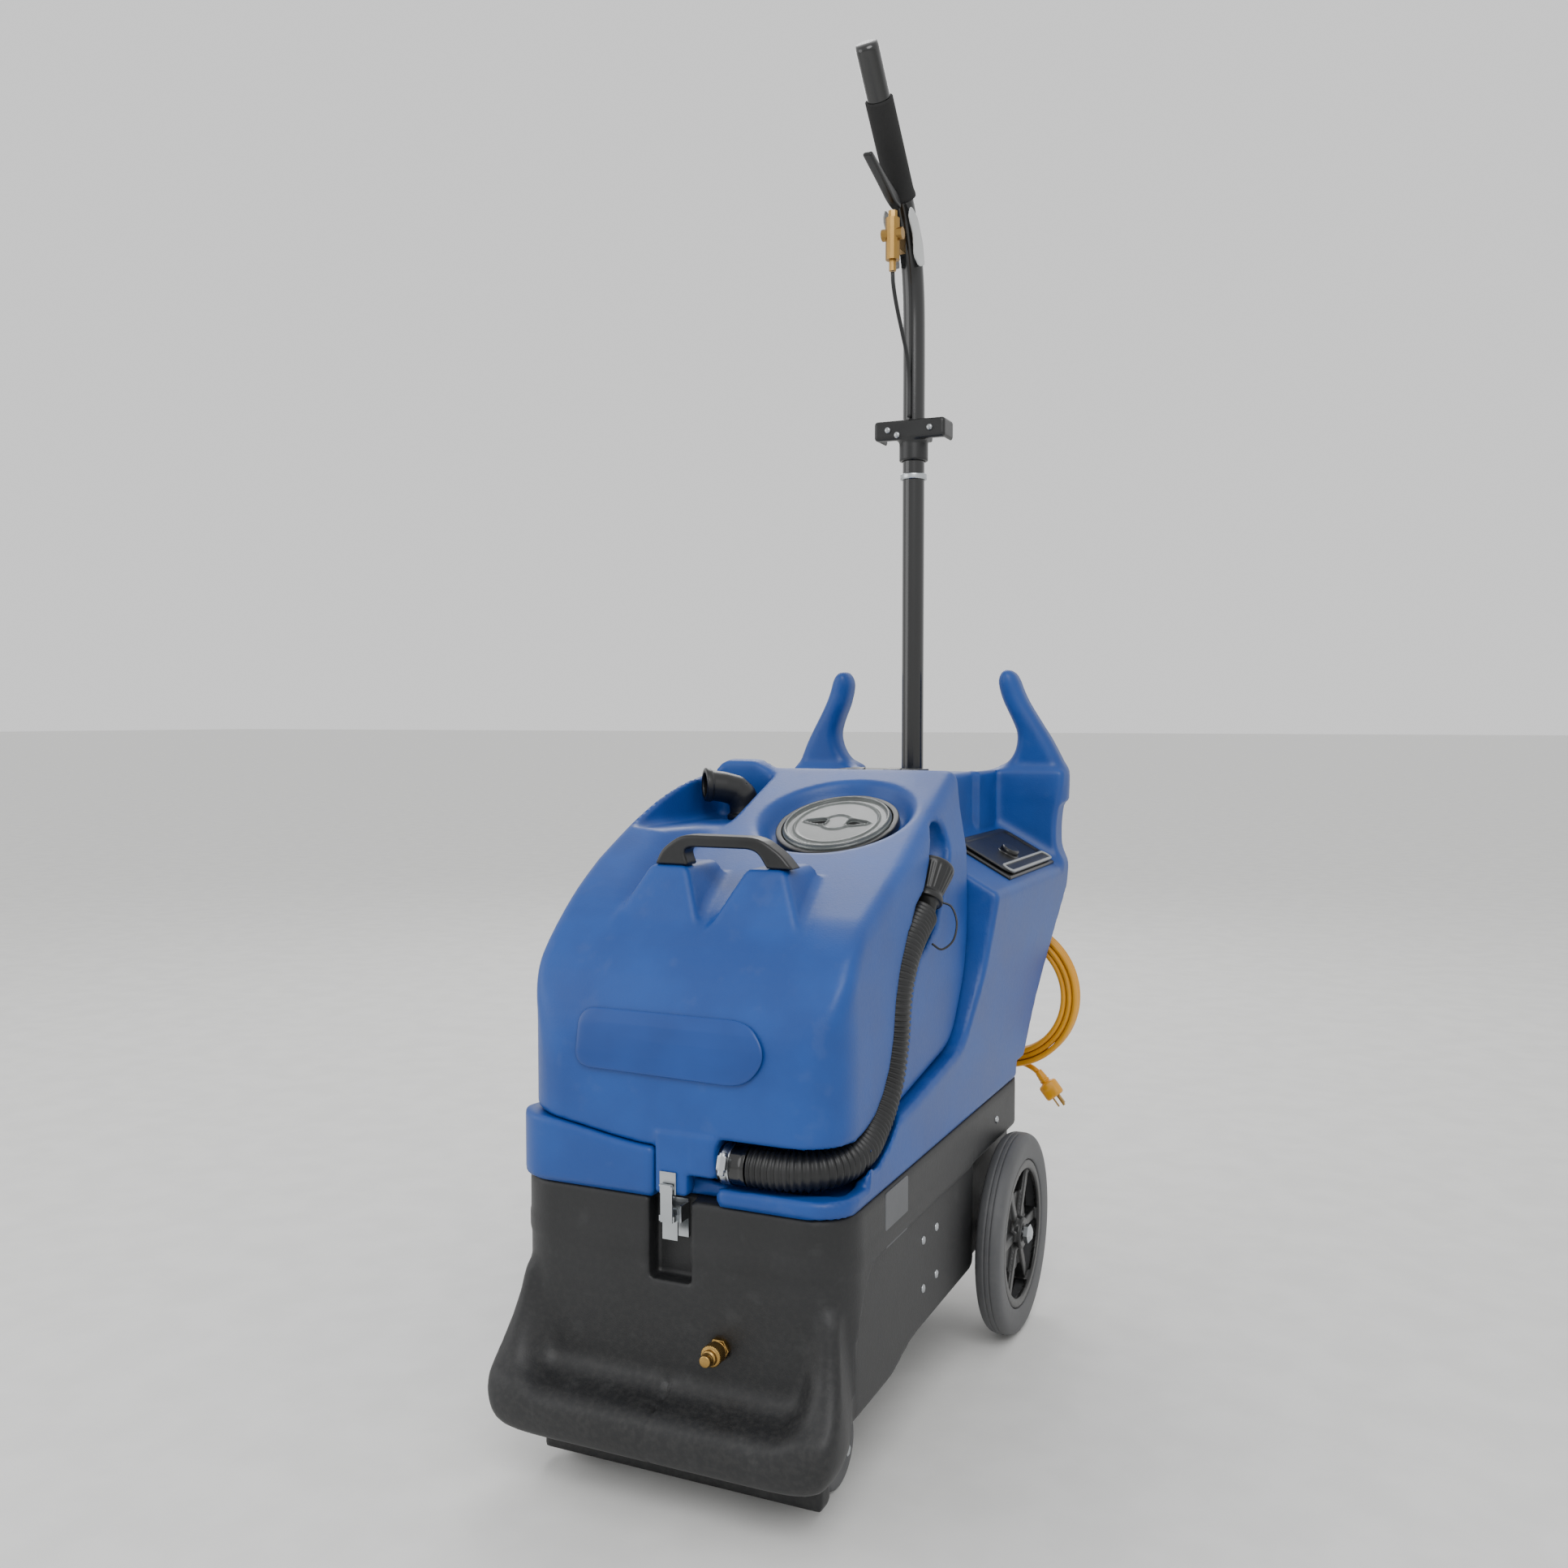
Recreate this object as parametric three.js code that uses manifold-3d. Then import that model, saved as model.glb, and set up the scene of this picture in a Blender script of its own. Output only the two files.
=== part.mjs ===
// Carpet extractor: a wheeled machine that sprays and sucks up cleaning solution.
// A black tub holds the motors; a solution tank stands on it and cradles the lift-off
// recovery tank; the wand stands in the back. Millimetres, X to the right, Y to the rear, Z up.
import * as THREE from 'three';
import { mergeVertices } from 'three/addons/utils/BufferGeometryUtils.js';
import Module from 'manifold-3d';

const wasm = await Module();
wasm.setup();

// ---------- driving dimensions ----------
const HALF_WIDTH = 229;          // of the tub's rim band
const PANEL_HALF = 222;          // of the tub's side panels
const WELL_HALF = 205;           // of the tub between the rear wheels
const BAND_Z = 295;              // underside of the rim band
const SEAM_Z = 370.5;            // where the solution tank meets the tub
const TUB_REAR = 788;
const WELL_Y = 534;              // front of the wheel wells
const RISER_Y = 747;             // front of the raised rear rim
const RISER_Z = 395;
const WALL = 5;
const FLOOR_Z = 142;             // top of the tub's floor
const DECK_Z = 128;              // underside that the casters bolt to
const LIP_FRONT = -70;
const LIP_HALF = 240;
const SCOOP_HALF = 180;
const CORNER_R = 60;
const GAP = 0.4;                 // between pieces that touch
const RUN_GAP = 0.6;             // round a piece that turns

const WHEEL_R = 152.4;
const WHEEL_W = 40;
const WHEEL_X = 251;
const ROUND = 36;                // sides of the wheels and lids
const WHEEL_Y = 650;
const RIM_R = 113;
const AXLE_R = 8;
const CASTER_R = 51;
const CASTER_W = 30;
const CASTER_X = 168;
const CASTER_Y = 127;            // of the swivel axis
const CASTER_TRAIL = 25;

const CRADLE_Z = 440;            // front of the recovery tank's cradle
const LEDGE_HALF = 258;
const REAR_Y = 1005;
const SHOULDER_Z = 862;          // top of the tower and of the rear pillars
const TOWER_HALF = 128;
const TOWER_Y = 850;
const RECESS_HALF = 135;         // wand recess
const RECESS_Z = 600;
const CHEEK_Z = 700;             // underside of the walls from the tower back to the pillars
const POCKET_Y = [560, 940];     // side ledges
const LEDGE_TOP = 765;
const LEDGE_SLOPE = 0.55;
const HORN_TIP = [154, 1018];
const HORN_TIP_R = 18;
const HORN_T = 50;

const TANK_HALF = 222;
const FACET_SLOPE = 0.41;        // rise of the tank's top towards the rear
const SEAT_GAP = 1;              // recovery tank over its cradle
const LID_C = [59, 390, 803];
const LID_TILT = 23.5;
const LID_R = 80;
const RING_R = 89.5;
const HOSE_R = 24.5;
const HOSE_CLEAR = 4;
const SHELF_Z = 392;
const TONGUE = [-20, 62];
const TONGUE_Z = 376;
const LATCH_HALF = 14;
const COUPLER = [68, 198];
const FILL_C = [194, 783];
const FILL_SIZE = [112, 280];

const WAND_Y = 885;
const WAND_R = 19;
const GRIP_R = 23;
const HEAD_HALF = 125;
const CORD_R = 4.8;
const COIL_C = [151, 962, 466];
const COIL_IN = 100;
const COIL_OUT = 132;
const COIL_T = 40;

// ---------- finishes ----------
const finish = (color, roughness, metalness = 0) =>
  new THREE.MeshStandardMaterial({ color, roughness, metalness });
const BLUE = finish(0x1b4fae, 0.42);
const BLACK = finish(0x2b2b2d, 0.55);
const RUBBER = finish(0x55565a, 0.75);
const MOULDED = finish(0x161617, 0.4);
const ZINC = finish(0xc9ccd0, 0.35, 1);
const STEEL = finish(0x8d9196, 0.3, 1);
const BRASS = finish(0xc08a3e, 0.3, 1);
const CLEAR = finish(0xb9bdbb, 0.15);
const YELLOW = finish(0xe0a018, 0.5);

// ---------- solids ----------
function solidFrom(geometry) {
  const bare = geometry.index ? geometry.toNonIndexed() : geometry.clone();
  bare.deleteAttribute('normal');
  bare.deleteAttribute('uv');
  const merged = mergeVertices(bare, 1e-3);
  const triVerts = new Uint32Array(merged.index.array);
  const at = merged.attributes.position.array;
  let volume = 0;
  for (let i = 0; i < triVerts.length; i += 3) {
    const [a, b, c] = [0, 1, 2].map((k) => new THREE.Vector3().fromArray(at, 3 * triVerts[i + k]));
    volume += a.dot(b.cross(c));
  }
  if (volume < 0) triVerts.reverse();
  return new wasm.Manifold(new wasm.Mesh({ numProp: 3, vertProperties: new Float32Array(at), triVerts }));
}

// welds what the cuts left closer together than WELD, and drops the triangles that this closes up
const WELD = 0.02;
function geometryFrom(solid) {
  const mesh = solid.getMesh();
  const raw = new THREE.BufferGeometry();
  raw.setAttribute('position', new THREE.BufferAttribute(new Float32Array(mesh.vertProperties), 3));
  raw.setIndex(new THREE.BufferAttribute(new Uint32Array(mesh.triVerts), 1));
  const geometry = mergeVertices(raw, WELD);
  const corners = geometry.index.array;
  const kept = [];
  for (let i = 0; i < corners.length; i += 3) {
    const [a, b, c] = corners.slice(i, i + 3);
    if (a !== b && b !== c && c !== a) kept.push(a, b, c);
  }
  geometry.setIndex(kept);
  geometry.computeVertexNormals();
  return geometry;
}

const AXES = [[1, 0, 0], [0, 1, 0], [0, 0, 1]].map((v) => new THREE.Vector3(...v));
const [EX, EY, EZ] = AXES;
const SIDEWAYS = new THREE.Matrix4().makeBasis(EY, EZ, EX);              // outline in Y,Z
const REARWARD = new THREE.Matrix4().makeBasis(EX, EZ, EY.clone().negate()); // outline in X,Z

function prism(points, depth) {
  const shape = new THREE.Shape(points.map((p) => new THREE.Vector2(...p)));
  return new THREE.ExtrudeGeometry(shape, { depth, bevelEnabled: false });
}
const extrudeX = (points, x0, x1) =>
  solidFrom(prism(points, x1 - x0).applyMatrix4(SIDEWAYS)).translate([x0, 0, 0]);
const extrudeY = (points, y0, y1) =>
  solidFrom(prism(points, y1 - y0).applyMatrix4(REARWARD)).translate([0, y1, 0]);
const extrudeZ = (points, z0, z1) => solidFrom(prism(points, z1 - z0)).translate([0, 0, z0]);
const box = (x0, x1, y0, y1, z0, z1) =>
  solidFrom(new THREE.BoxGeometry(x1 - x0, y1 - y0, z1 - z0))
    .translate([(x0 + x1) / 2, (y0 + y1) / 2, (z0 + z1) / 2]);
const turned = (profile, sides) =>
  solidFrom(new THREE.LatheGeometry(profile.map((p) => new THREE.Vector2(...p)), sides).rotateX(Math.PI / 2));
const rod = (radius, z0, z1, sides = 24) => turned([[0, z0], [radius, z0], [radius, z1], [0, z1]], sides);
const rodX = (radius, x0, x1, y, z, sides = 24) => rod(radius, x0, x1, sides).rotate([0, 90, 0]).translate([0, y, z]);
const placed = (solid, matrix) => solid.transform(matrix.elements);
const both = (make) => [-1, 1].map(make).reduce((a, b) => a.add(b));

function arc(cx, cy, radius, from, to, steps) {
  return Array.from({ length: steps + 1 }, (_, i) => {
    const angle = THREE.MathUtils.degToRad(from + ((to - from) * i) / steps);
    return [cx + radius * Math.cos(angle), cy + radius * Math.sin(angle)];
  });
}

// plan outline with rounded front corners and slightly rounded rear ones
function plan(half, y0, y1, front, rear = 15) {
  return [
    ...arc(-half + front, y0 + front, front, 180, 270, 8),
    ...arc(half - front, y0 + front, front, 270, 360, 8),
    ...arc(half - rear, y1 - rear, rear, 0, 90, 3),
    ...arc(-half + rear, y1 - rear, rear, 90, 180, 3),
  ];
}

function sweep(points, radius, sides, steps) {
  const curve = new THREE.CatmullRomCurve3(points.map((p) => new THREE.Vector3(...p)));
  const section = new THREE.Shape(arc(0, 0, radius, 0, 360 - 360 / sides, sides - 1)
    .map((p) => new THREE.Vector2(...p)));
  return solidFrom(new THREE.ExtrudeGeometry(section, { steps, bevelEnabled: false, extrudePath: curve }));
}

// ---------- scene graph ----------
const group = new THREE.Group();

function add(name, solid, material, parent = group) {
  const mesh = new THREE.Mesh(geometryFrom(solid), material);
  mesh.name = name;
  parent.add(mesh);
  return mesh;
}

function pivot(x, y, z, parent = group) {
  const child = new THREE.Group();
  child.position.set(x, y, z);
  parent.add(child);
  return child;
}

// ---------- tub ----------
const lipOutline = [[30, 240], [0, 240], [-12, 200], [-35, 150], [-58, 128], [LIP_FRONT + 2, 112],
  [LIP_FRONT, 96], [LIP_FRONT + 8, 74], [-35, 60], [30, 58]];
const lipPlan = [[-PANEL_HALF, 40], [-PANEL_HALF, 20], [-LIP_HALF, -22], [-LIP_HALF + 4, -42], [-LIP_HALF + 16, -58],
  [-LIP_HALF + 36, LIP_FRONT], [LIP_HALF - 36, LIP_FRONT], [LIP_HALF - 16, -58], [LIP_HALF - 4, -42],
  [LIP_HALF, -22], [PANEL_HALF, 20], [PANEL_HALF, 40]];
const panelOutline = [[0, 115], [85, 115], [85, 125], [112, 125], [112, 115], [180, 115], [256, 134],
  [WELL_Y, 134], [WELL_Y, BAND_Z + 1], [0, BAND_Z + 1]];
const scoopOutline = [[-90, 260], [2, 260], [4, 200], [8, 160], [2, 142], [-12, 133], [-90, 133]];
const lipHollow = [[-56, 50], [-58, 100], [-46, 118], [-10, 118], [8, 108], [8, 50]];
const SKIRT_HALF = 193;
const SKIRT_T = 8;
const LATCH_RECESS = [-30, 27];
const RECESS_DEPTH = 25;

function makeTub() {
  const panels = extrudeX(panelOutline, -PANEL_HALF, PANEL_HALF)
    .intersect(extrudeZ(plan(PANEL_HALF, 0, 900, CORNER_R), 0, 400));
  const lip = extrudeX(lipOutline, -LIP_HALF, LIP_HALF).intersect(extrudeZ(lipPlan, 0, 300));
  const band = extrudeZ(plan(HALF_WIDTH, 0, TUB_REAR, CORNER_R), BAND_Z, SEAM_Z);
  const riser = box(-HALF_WIDTH, HALF_WIDTH, RISER_Y, TUB_REAR, SEAM_Z - 2, RISER_Z)
    .intersect(extrudeZ(plan(HALF_WIDTH, 0, TUB_REAR, CORNER_R), 0, 500));
  const rear = box(-WELL_HALF, WELL_HALF, WELL_Y - 20, TUB_REAR, 125, BAND_Z + 1);
  const skirt = box(-SKIRT_HALF, SKIRT_HALF, 15, 45, 15, 120)
    .subtract(box(-SKIRT_HALF + SKIRT_T, SKIRT_HALF - SKIRT_T, 15 + SKIRT_T, 46, 10, 116));
  const boss = box(LATCH_RECESS[0] - 6, LATCH_RECESS[1] + 6, 3, RECESS_DEPTH + 6, 262, SEAM_Z);
  const front = 17;
  return panels.add(lip).subtract(extrudeX(scoopOutline, -SCOOP_HALF, SCOOP_HALF))
    .add(band).add(riser).add(rear)
    .subtract(extrudeZ(plan(PANEL_HALF - WALL, front, WELL_Y - WALL, CORNER_R - WALL), FLOOR_Z, 300))
    .subtract(box(-WELL_HALF + WALL, WELL_HALF - WALL, WELL_Y - 40, TUB_REAR - WALL, FLOOR_Z, 420))
    .subtract(extrudeZ(plan(HALF_WIDTH - WALL, WALL, TUB_REAR - WALL, CORNER_R - WALL), BAND_Z + WALL, 420))
    .subtract(extrudeX(lipHollow, -SCOOP_HALF, SCOOP_HALF))
    .subtract(box(-WELL_HALF, WELL_HALF, 50, 175, 100, DECK_Z))
    .add(skirt).add(boss)
    .subtract(box(...LATCH_RECESS, -10, RECESS_DEPTH, 268, SEAM_Z + 5))
    .subtract(rodX(AXLE_R + RUN_GAP, -250, 250, WHEEL_Y, WHEEL_R))
    .subtract(rod(9.2, -10, 40).rotate([-90, 0, 0]).translate([COUPLER[0], 0, COUPLER[1]]));
}
add('tub', makeTub(), BLACK);

// ---------- wheels ----------
const tyreProfile = [[RIM_R, -18], [140, -WHEEL_W / 2], [149, -14], [WHEEL_R, -6], [WHEEL_R, 6], [149, 14],
  [140, WHEEL_W / 2], [RIM_R, 18], [RIM_R, -18]];
const rimProfile = [[98, -16], [RIM_R - GAP, -16], [RIM_R - GAP, 16], [98, 16], [98, -16]];
const HUB_R = 24;
const SPOKES = 6;

function makeRim() {
  let rim = turned(rimProfile, ROUND).add(rod(HUB_R, -17, 17)).add(rod(60, -2, 2));
  for (let i = 0; i < SPOKES; i += 1) {
    const spoke = box(HUB_R - 6, 102, -6, 6, -9, 9).rotate([0, 0, (360 / SPOKES) * i]);
    rim = rim.add(spoke);
  }
  return rim.subtract(rod(AXLE_R + RUN_GAP, -30, 30));
}
const tyreSolid = turned(tyreProfile, ROUND);
const rimSolid = makeRim();
const nutSolid = turned([[0, 0], [15, 0], [15, 6], [9, 10], [0, 10]], 6);
add('rear_axle', rodX(AXLE_R, -WHEEL_X - 19, WHEEL_X + 19, WHEEL_Y, WHEEL_R), STEEL);
for (const [side, sign] of [['left', -1], ['right', 1]]) {
  const wheel = pivot(sign * WHEEL_X, WHEEL_Y, WHEEL_R);
  add(`rear_tyre_${side}`, tyreSolid.rotate([0, 90, 0]), RUBBER, wheel);
  add(`rear_rim_${side}`, rimSolid.rotate([0, 90, 0]), MOULDED, wheel);
  const nut = pivot(sign * (WHEEL_X + 19 + GAP), WHEEL_Y, WHEEL_R);
  add(`axle_nut_${side}`, nutSolid.rotate([0, 90 * sign, 0]), ZINC, nut);
}

// ---------- casters ----------
const FORK_IN = CASTER_W / 2 + 1.5;
const FORK_OUT = FORK_IN + 3;
const CASTER_AXLE_Z = CASTER_R - DECK_Z;
const forkLeg = [[-20, -12], [20, -12], [-CASTER_TRAIL + 11, CASTER_AXLE_Z - 10],
  [-CASTER_TRAIL - 11, CASTER_AXLE_Z - 10], [-CASTER_TRAIL - 13, CASTER_AXLE_Z + 4]];
const legPair = extrudeX(forkLeg, -FORK_OUT, FORK_OUT).subtract(box(-FORK_IN, FORK_IN, -60, 60, -120, -16));
const forkSolid = legPair.add(rod(22, -12.5, -4.5))
  .subtract(rodX(4 + GAP, -40, 40, -CASTER_TRAIL, CASTER_AXLE_Z, 12));
const plateSolid = box(-32, 32, -26, 26, -3.4, -GAP);
const casterWheel = turned([[4.8, -15], [40, -15], [48, -13], [CASTER_R, -8], [CASTER_R, 8], [48, 13], [40, 15],
  [4.8, 15], [4.8, -15]], 32);
const boltSolid = rodX(4, -FORK_OUT - 4, FORK_OUT + 1, 0, 0, 12).add(rodX(7, FORK_OUT + 0.6, FORK_OUT + 6, 0, 0, 6))
  .add(rodX(7, -FORK_OUT - 6, -FORK_OUT - 0.6, 0, 0, 6));
for (const [side, sign] of [['left', -1], ['right', 1]]) {
  const swivel = pivot(sign * CASTER_X, CASTER_Y, DECK_Z);
  add(`caster_plate_${side}`, plateSolid, ZINC, swivel);
  add(`caster_fork_${side}`, forkSolid, ZINC, swivel);
  const hub = pivot(0, -CASTER_TRAIL, CASTER_AXLE_Z, swivel);
  add(`caster_wheel_${side}`, casterWheel.rotate([0, 90, 0]), RUBBER, hub);
  add(`caster_bolt_${side}`, boltSolid, ZINC, hub);
}

// ---------- inside the tub ----------
const MOTOR_R = 72;
for (const [side, sign] of [['left', -1], ['right', 1]]) {
  const motor = turned([[0, 0], [MOTOR_R, 0], [MOTOR_R, 70], [50, 74], [50, 165], [0, 165]], 24);
  add(`vacuum_motor_${side}`, motor, MOULDED, pivot(sign * 95, 290, FLOOR_Z + GAP));
}
add('pump_motor', rodX(38, -90, 20, 0, 0, 20), STEEL, pivot(0, 480, FLOOR_Z + GAP + 38));
add('solution_pump', box(20.5, 88, -30, 30, -37.5, 30), BRASS, pivot(0, 480, FLOOR_Z + GAP + 38));
const couplerProfile = [[0, -16], [8.4, -16], [8.4, 0.6], [14, 0.6], [14, 9], [10, 9], [10, 14], [13, 14], [13, 29],
  [9, 29], [9, 35], [7, 35], [7, 45], [0, 45]];
add('quick_coupler', turned(couplerProfile, 12).rotate([90, 0, 0]), BRASS, pivot(COUPLER[0], 3.2, COUPLER[1]));

// ---------- route of the drain hose, shared by both tanks ----------
const HOSE_Z = SHELF_Z + GAP + HOSE_R;
const hoseRoute = [[101, 22, HOSE_Z], [145, 24, HOSE_Z], [178, 38, HOSE_Z + 1], [198, 68, HOSE_Z + 4],
  [205, 105, HOSE_Z + 11], [205, 140, HOSE_Z + 25], [205, 172, HOSE_Z + 48], [205, 200, HOSE_Z + 80],
  [205, 218, HOSE_Z + 123], [205, 226, HOSE_Z + 168], [205, 240, HOSE_Z + 203], [205, 268, HOSE_Z + 235],
  [205, 305, HOSE_Z + 258]];
const CUFF_END = [205, 343, HOSE_Z + 276];
const CAP_END = [205, 386, HOSE_Z + 333];
const channel = sweep([[58, 22, HOSE_Z], ...hoseRoute, CUFF_END], HOSE_R + HOSE_CLEAR, 12, 40)
  .add(sweep([hoseRoute[12], CUFF_END, CAP_END, [205, 400, HOSE_Z + 352]], 36, 12, 10));

// ---------- solution tank ----------
const cradle = [[528, 680], [508, 580], [443, 486], [223, 452], [60, CRADLE_Z], [-5, CRADLE_Z]];
const solutionOutline = [[-5, SEAM_Z + GAP], [RISER_Y - GAP, SEAM_Z + GAP], [RISER_Y - GAP, RISER_Z + GAP],
  [TUB_REAR, RISER_Z + GAP], [REAR_Y, 690], [REAR_Y, SHOULDER_Z], [546, SHOULDER_Z], ...cradle];
const sideOutline = (sign) => [[229, 360], [233, 490], [LEDGE_HALF, 690], [LEDGE_HALF, 704], [241, 728], [241, 775],
  [255, 845], [253, SHOULDER_Z + 5]].map(([x, z]) => [sign * x, z]);
const ledgeZ = (x) => LEDGE_TOP - LEDGE_SLOPE * (x - 130);
const LEDGE_FRAME = new THREE.Matrix4()
  .makeTranslation(FILL_C[0], FILL_C[1], ledgeZ(FILL_C[0]))
  .multiply(new THREE.Matrix4().makeRotationY(Math.atan(LEDGE_SLOPE)));
const FILL_WALL = 12;

function hornSolid(sign) {
  const [tipX, tipZ] = HORN_TIP;
  const outline = [[RECESS_HALF, SHOULDER_Z - 20], [253, SHOULDER_Z - 20], [252, 864], [243, 884], [228, 915],
    [205, 952], [183, 990], ...arc(tipX, tipZ, HORN_TIP_R, 15, 195, 8), [144, 985], [161, 950], [170, 925],
    [167, 900], [155, 878], [RECESS_HALF, SHOULDER_Z]];
  const forward = new THREE.Matrix4().makeShear(0, 0, 0, 0, 0, 0);
  forward.elements[9] = -0.16;
  const flat = extrudeY(outline.map(([x, z]) => [sign * x, z - SHOULDER_Z]), REAR_Y - HORN_T, REAR_Y - 2);
  return placed(flat, forward).translate([0, 0, SHOULDER_Z])
    .intersect(box(-300, 300, 0, REAR_Y, SHOULDER_Z - 20, 1100));
}

function makeSolutionTank() {
  const flare = extrudeY([...sideOutline(-1).reverse(), ...sideOutline(1)], -10, 1010);
  const rounded = extrudeZ([...arc(-HALF_WIDTH + CORNER_R, CORNER_R, CORNER_R, 180, 270, 8),
    ...arc(HALF_WIDTH - CORNER_R, CORNER_R, CORNER_R, 270, 360, 8), [HALF_WIDTH + 6, 90], [280, 500],
    [280, REAR_Y], [-280, REAR_Y], [-280, 500], [-HALF_WIDTH - 6, 90]], 300, 1200);
  const ledgeCut = (sign) => extrudeY([[sign * TOWER_HALF, ledgeZ(TOWER_HALF)], [sign * 300, ledgeZ(300)],
    [sign * 300, 900], [sign * TOWER_HALF, 900]], 400, POCKET_Y[1]);
  const basin = [[34, 378], [738, 378], [738, 402], [782, 402], [922, 592], [540, 592], [517, 580], [452, 478],
    [223, 444], [60, 432], [34, 432]];
  const tank = extrudeX(solutionOutline, -280, 280).intersect(flare).intersect(rounded)
    .subtract(both(ledgeCut))
    .subtract(box(-RECESS_HALF, RECESS_HALF, TOWER_Y, REAR_Y + 5, RECESS_Z, 900))
    .add(both((sign) => box(sign * TOWER_HALF - 8, sign * TOWER_HALF + 8, TOWER_Y - 4, POCKET_Y[1] + 4, CHEEK_Z,
      SHOULDER_Z)))
    .add(both(hornSolid))
    .subtract(extrudeX(basin, -PANEL_HALF, PANEL_HALF))
    .subtract(box(-TOWER_HALF - 100, TOWER_HALF + 100, 540, TOWER_Y - 8, 590, 684))
    .subtract(box(-TOWER_HALF + 6, TOWER_HALF - 6, 556, TOWER_Y - 8, 680, SHOULDER_Z - 8))
    .subtract(box(TONGUE[0] - 2, TONGUE[1] + 2, -10, 24, SEAM_Z - 2, CRADLE_Z + 2))
    .subtract(box(21, TONGUE[1] + 40, -10, 56, SHELF_Z, CRADLE_Z + 2))
    .subtract(box(TONGUE[1], HALF_WIDTH + 10, -10, 75, SHELF_Z, CRADLE_Z + 2))
    .subtract(channel);
  const mouth = box(-FILL_SIZE[0] / 2 + FILL_WALL, FILL_SIZE[0] / 2 - FILL_WALL - 8,
    -FILL_SIZE[1] / 2 + FILL_WALL, 40, -120, 20);
  return tank.subtract(placed(mouth, LEDGE_FRAME).intersect(box(130, 238, 500, TOWER_Y - 8, 600, 800)));
}
add('solution_tank', makeSolutionTank(), BLUE);

// fill opening: frame and hinged lid in the sloping ledge
const frameSolid = box(-56, 56, -140, 140, GAP, 5).subtract(box(-42, 42, -124, 124, -1, 6));
const fillLid = box(-50, 52, -132, 132, 5.6, 10).add(box(-40, 40, -120, 120, 1.5, 6)).add(box(6, 38, -28, 28, 9, 17));
const fill = pivot(FILL_C[0], FILL_C[1], ledgeZ(FILL_C[0]));
fill.rotation.y = Math.atan(LEDGE_SLOPE);
add('fill_frame', frameSolid, MOULDED, fill);
const FILL_HINGE = [-53, 0, 7];
const fillHinge = pivot(...FILL_HINGE, fill);
add('fill_lid', fillLid.translate(FILL_HINGE.map((v) => -v)), MOULDED, fillHinge);

// controls on the tower
const panelZ = SHOULDER_Z + GAP;
add('switch_panel', box(-72, 72, 630, 760, panelZ, panelZ + 6)
  .subtract(both((s) => box(s * 32 - 13, s * 32 + 13, 680, 712, panelZ - 1, panelZ + 9))), MOULDED);
const rockerSolid = extrudeX([[-14, -1.2], [0, -3], [14, -1.2], [14, 5], [0, 2.5], [-14, 3]], -11, 11);
for (const [use, sign] of [['vacuum', -1], ['pump', 1]]) {
  add(`${use}_switch`, rockerSolid, MOULDED, pivot(sign * 32, 696, panelZ + 4));
}

// ---------- recovery tank ----------
const facetZ = (y) => 818 + FACET_SLOPE * (y - 390);
const under = cradle.slice(0, 4).map(([y, z]) => [y - SEAT_GAP * 4, z + SEAT_GAP]);
const tankOutline = [[-2, CRADLE_Z + SEAT_GAP], [-5, 512], [6, 578], [42, 652], [85, facetZ(85)],
  [543, facetZ(543)], [541, 866], ...under, [60, CRADLE_Z + SEAT_GAP]];
const towerSide = extrudeX([[541, 866], ...under, [439, 400], [700, 400], [700, 866]], -300, 300);
const ridge = [[0, 480], [-4, 512], [6, 578], [42, 652], [110, 720], [172, 762], [250, 808], [318, 840], [400, 866],
  [495, 883], [543, 890], [543, 800], [200, 600]];
const tankSides = (sign) => [[TANK_HALF, 430], [TANK_HALF, 640], [216, 760], [204, 820], [194, 895]]
  .map(([x, z]) => [sign * x, z]);
const hollow = [[8, 461], [66, 460], [223, 471], [432, 504], [490, 592], [514, 688], [528, 858], [92, 686], [52, 650],
  [16, 578], [6, 512]];
const VAC_POCKET = [-190, -95, 238, 512, 798, 950];
const LID_FRAME = new THREE.Matrix4().makeTranslation(...LID_C)
  .multiply(new THREE.Matrix4().makeRotationX(THREE.MathUtils.degToRad(LID_TILT)));
const SEAT_Z = -12;              // of the lid ring's seat below the lid's own plane
const lidRecess = placed(turned([[0, SEAT_Z], [97, SEAT_Z], [103, SEAT_Z + 8], [118, 20], [124, 70], [0, 70]], ROUND),
  LID_FRAME);
const lidGuard = placed(rod(124, SEAT_Z - 6, 80, 24), LID_FRAME);
const PORT_R = 20;

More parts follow.
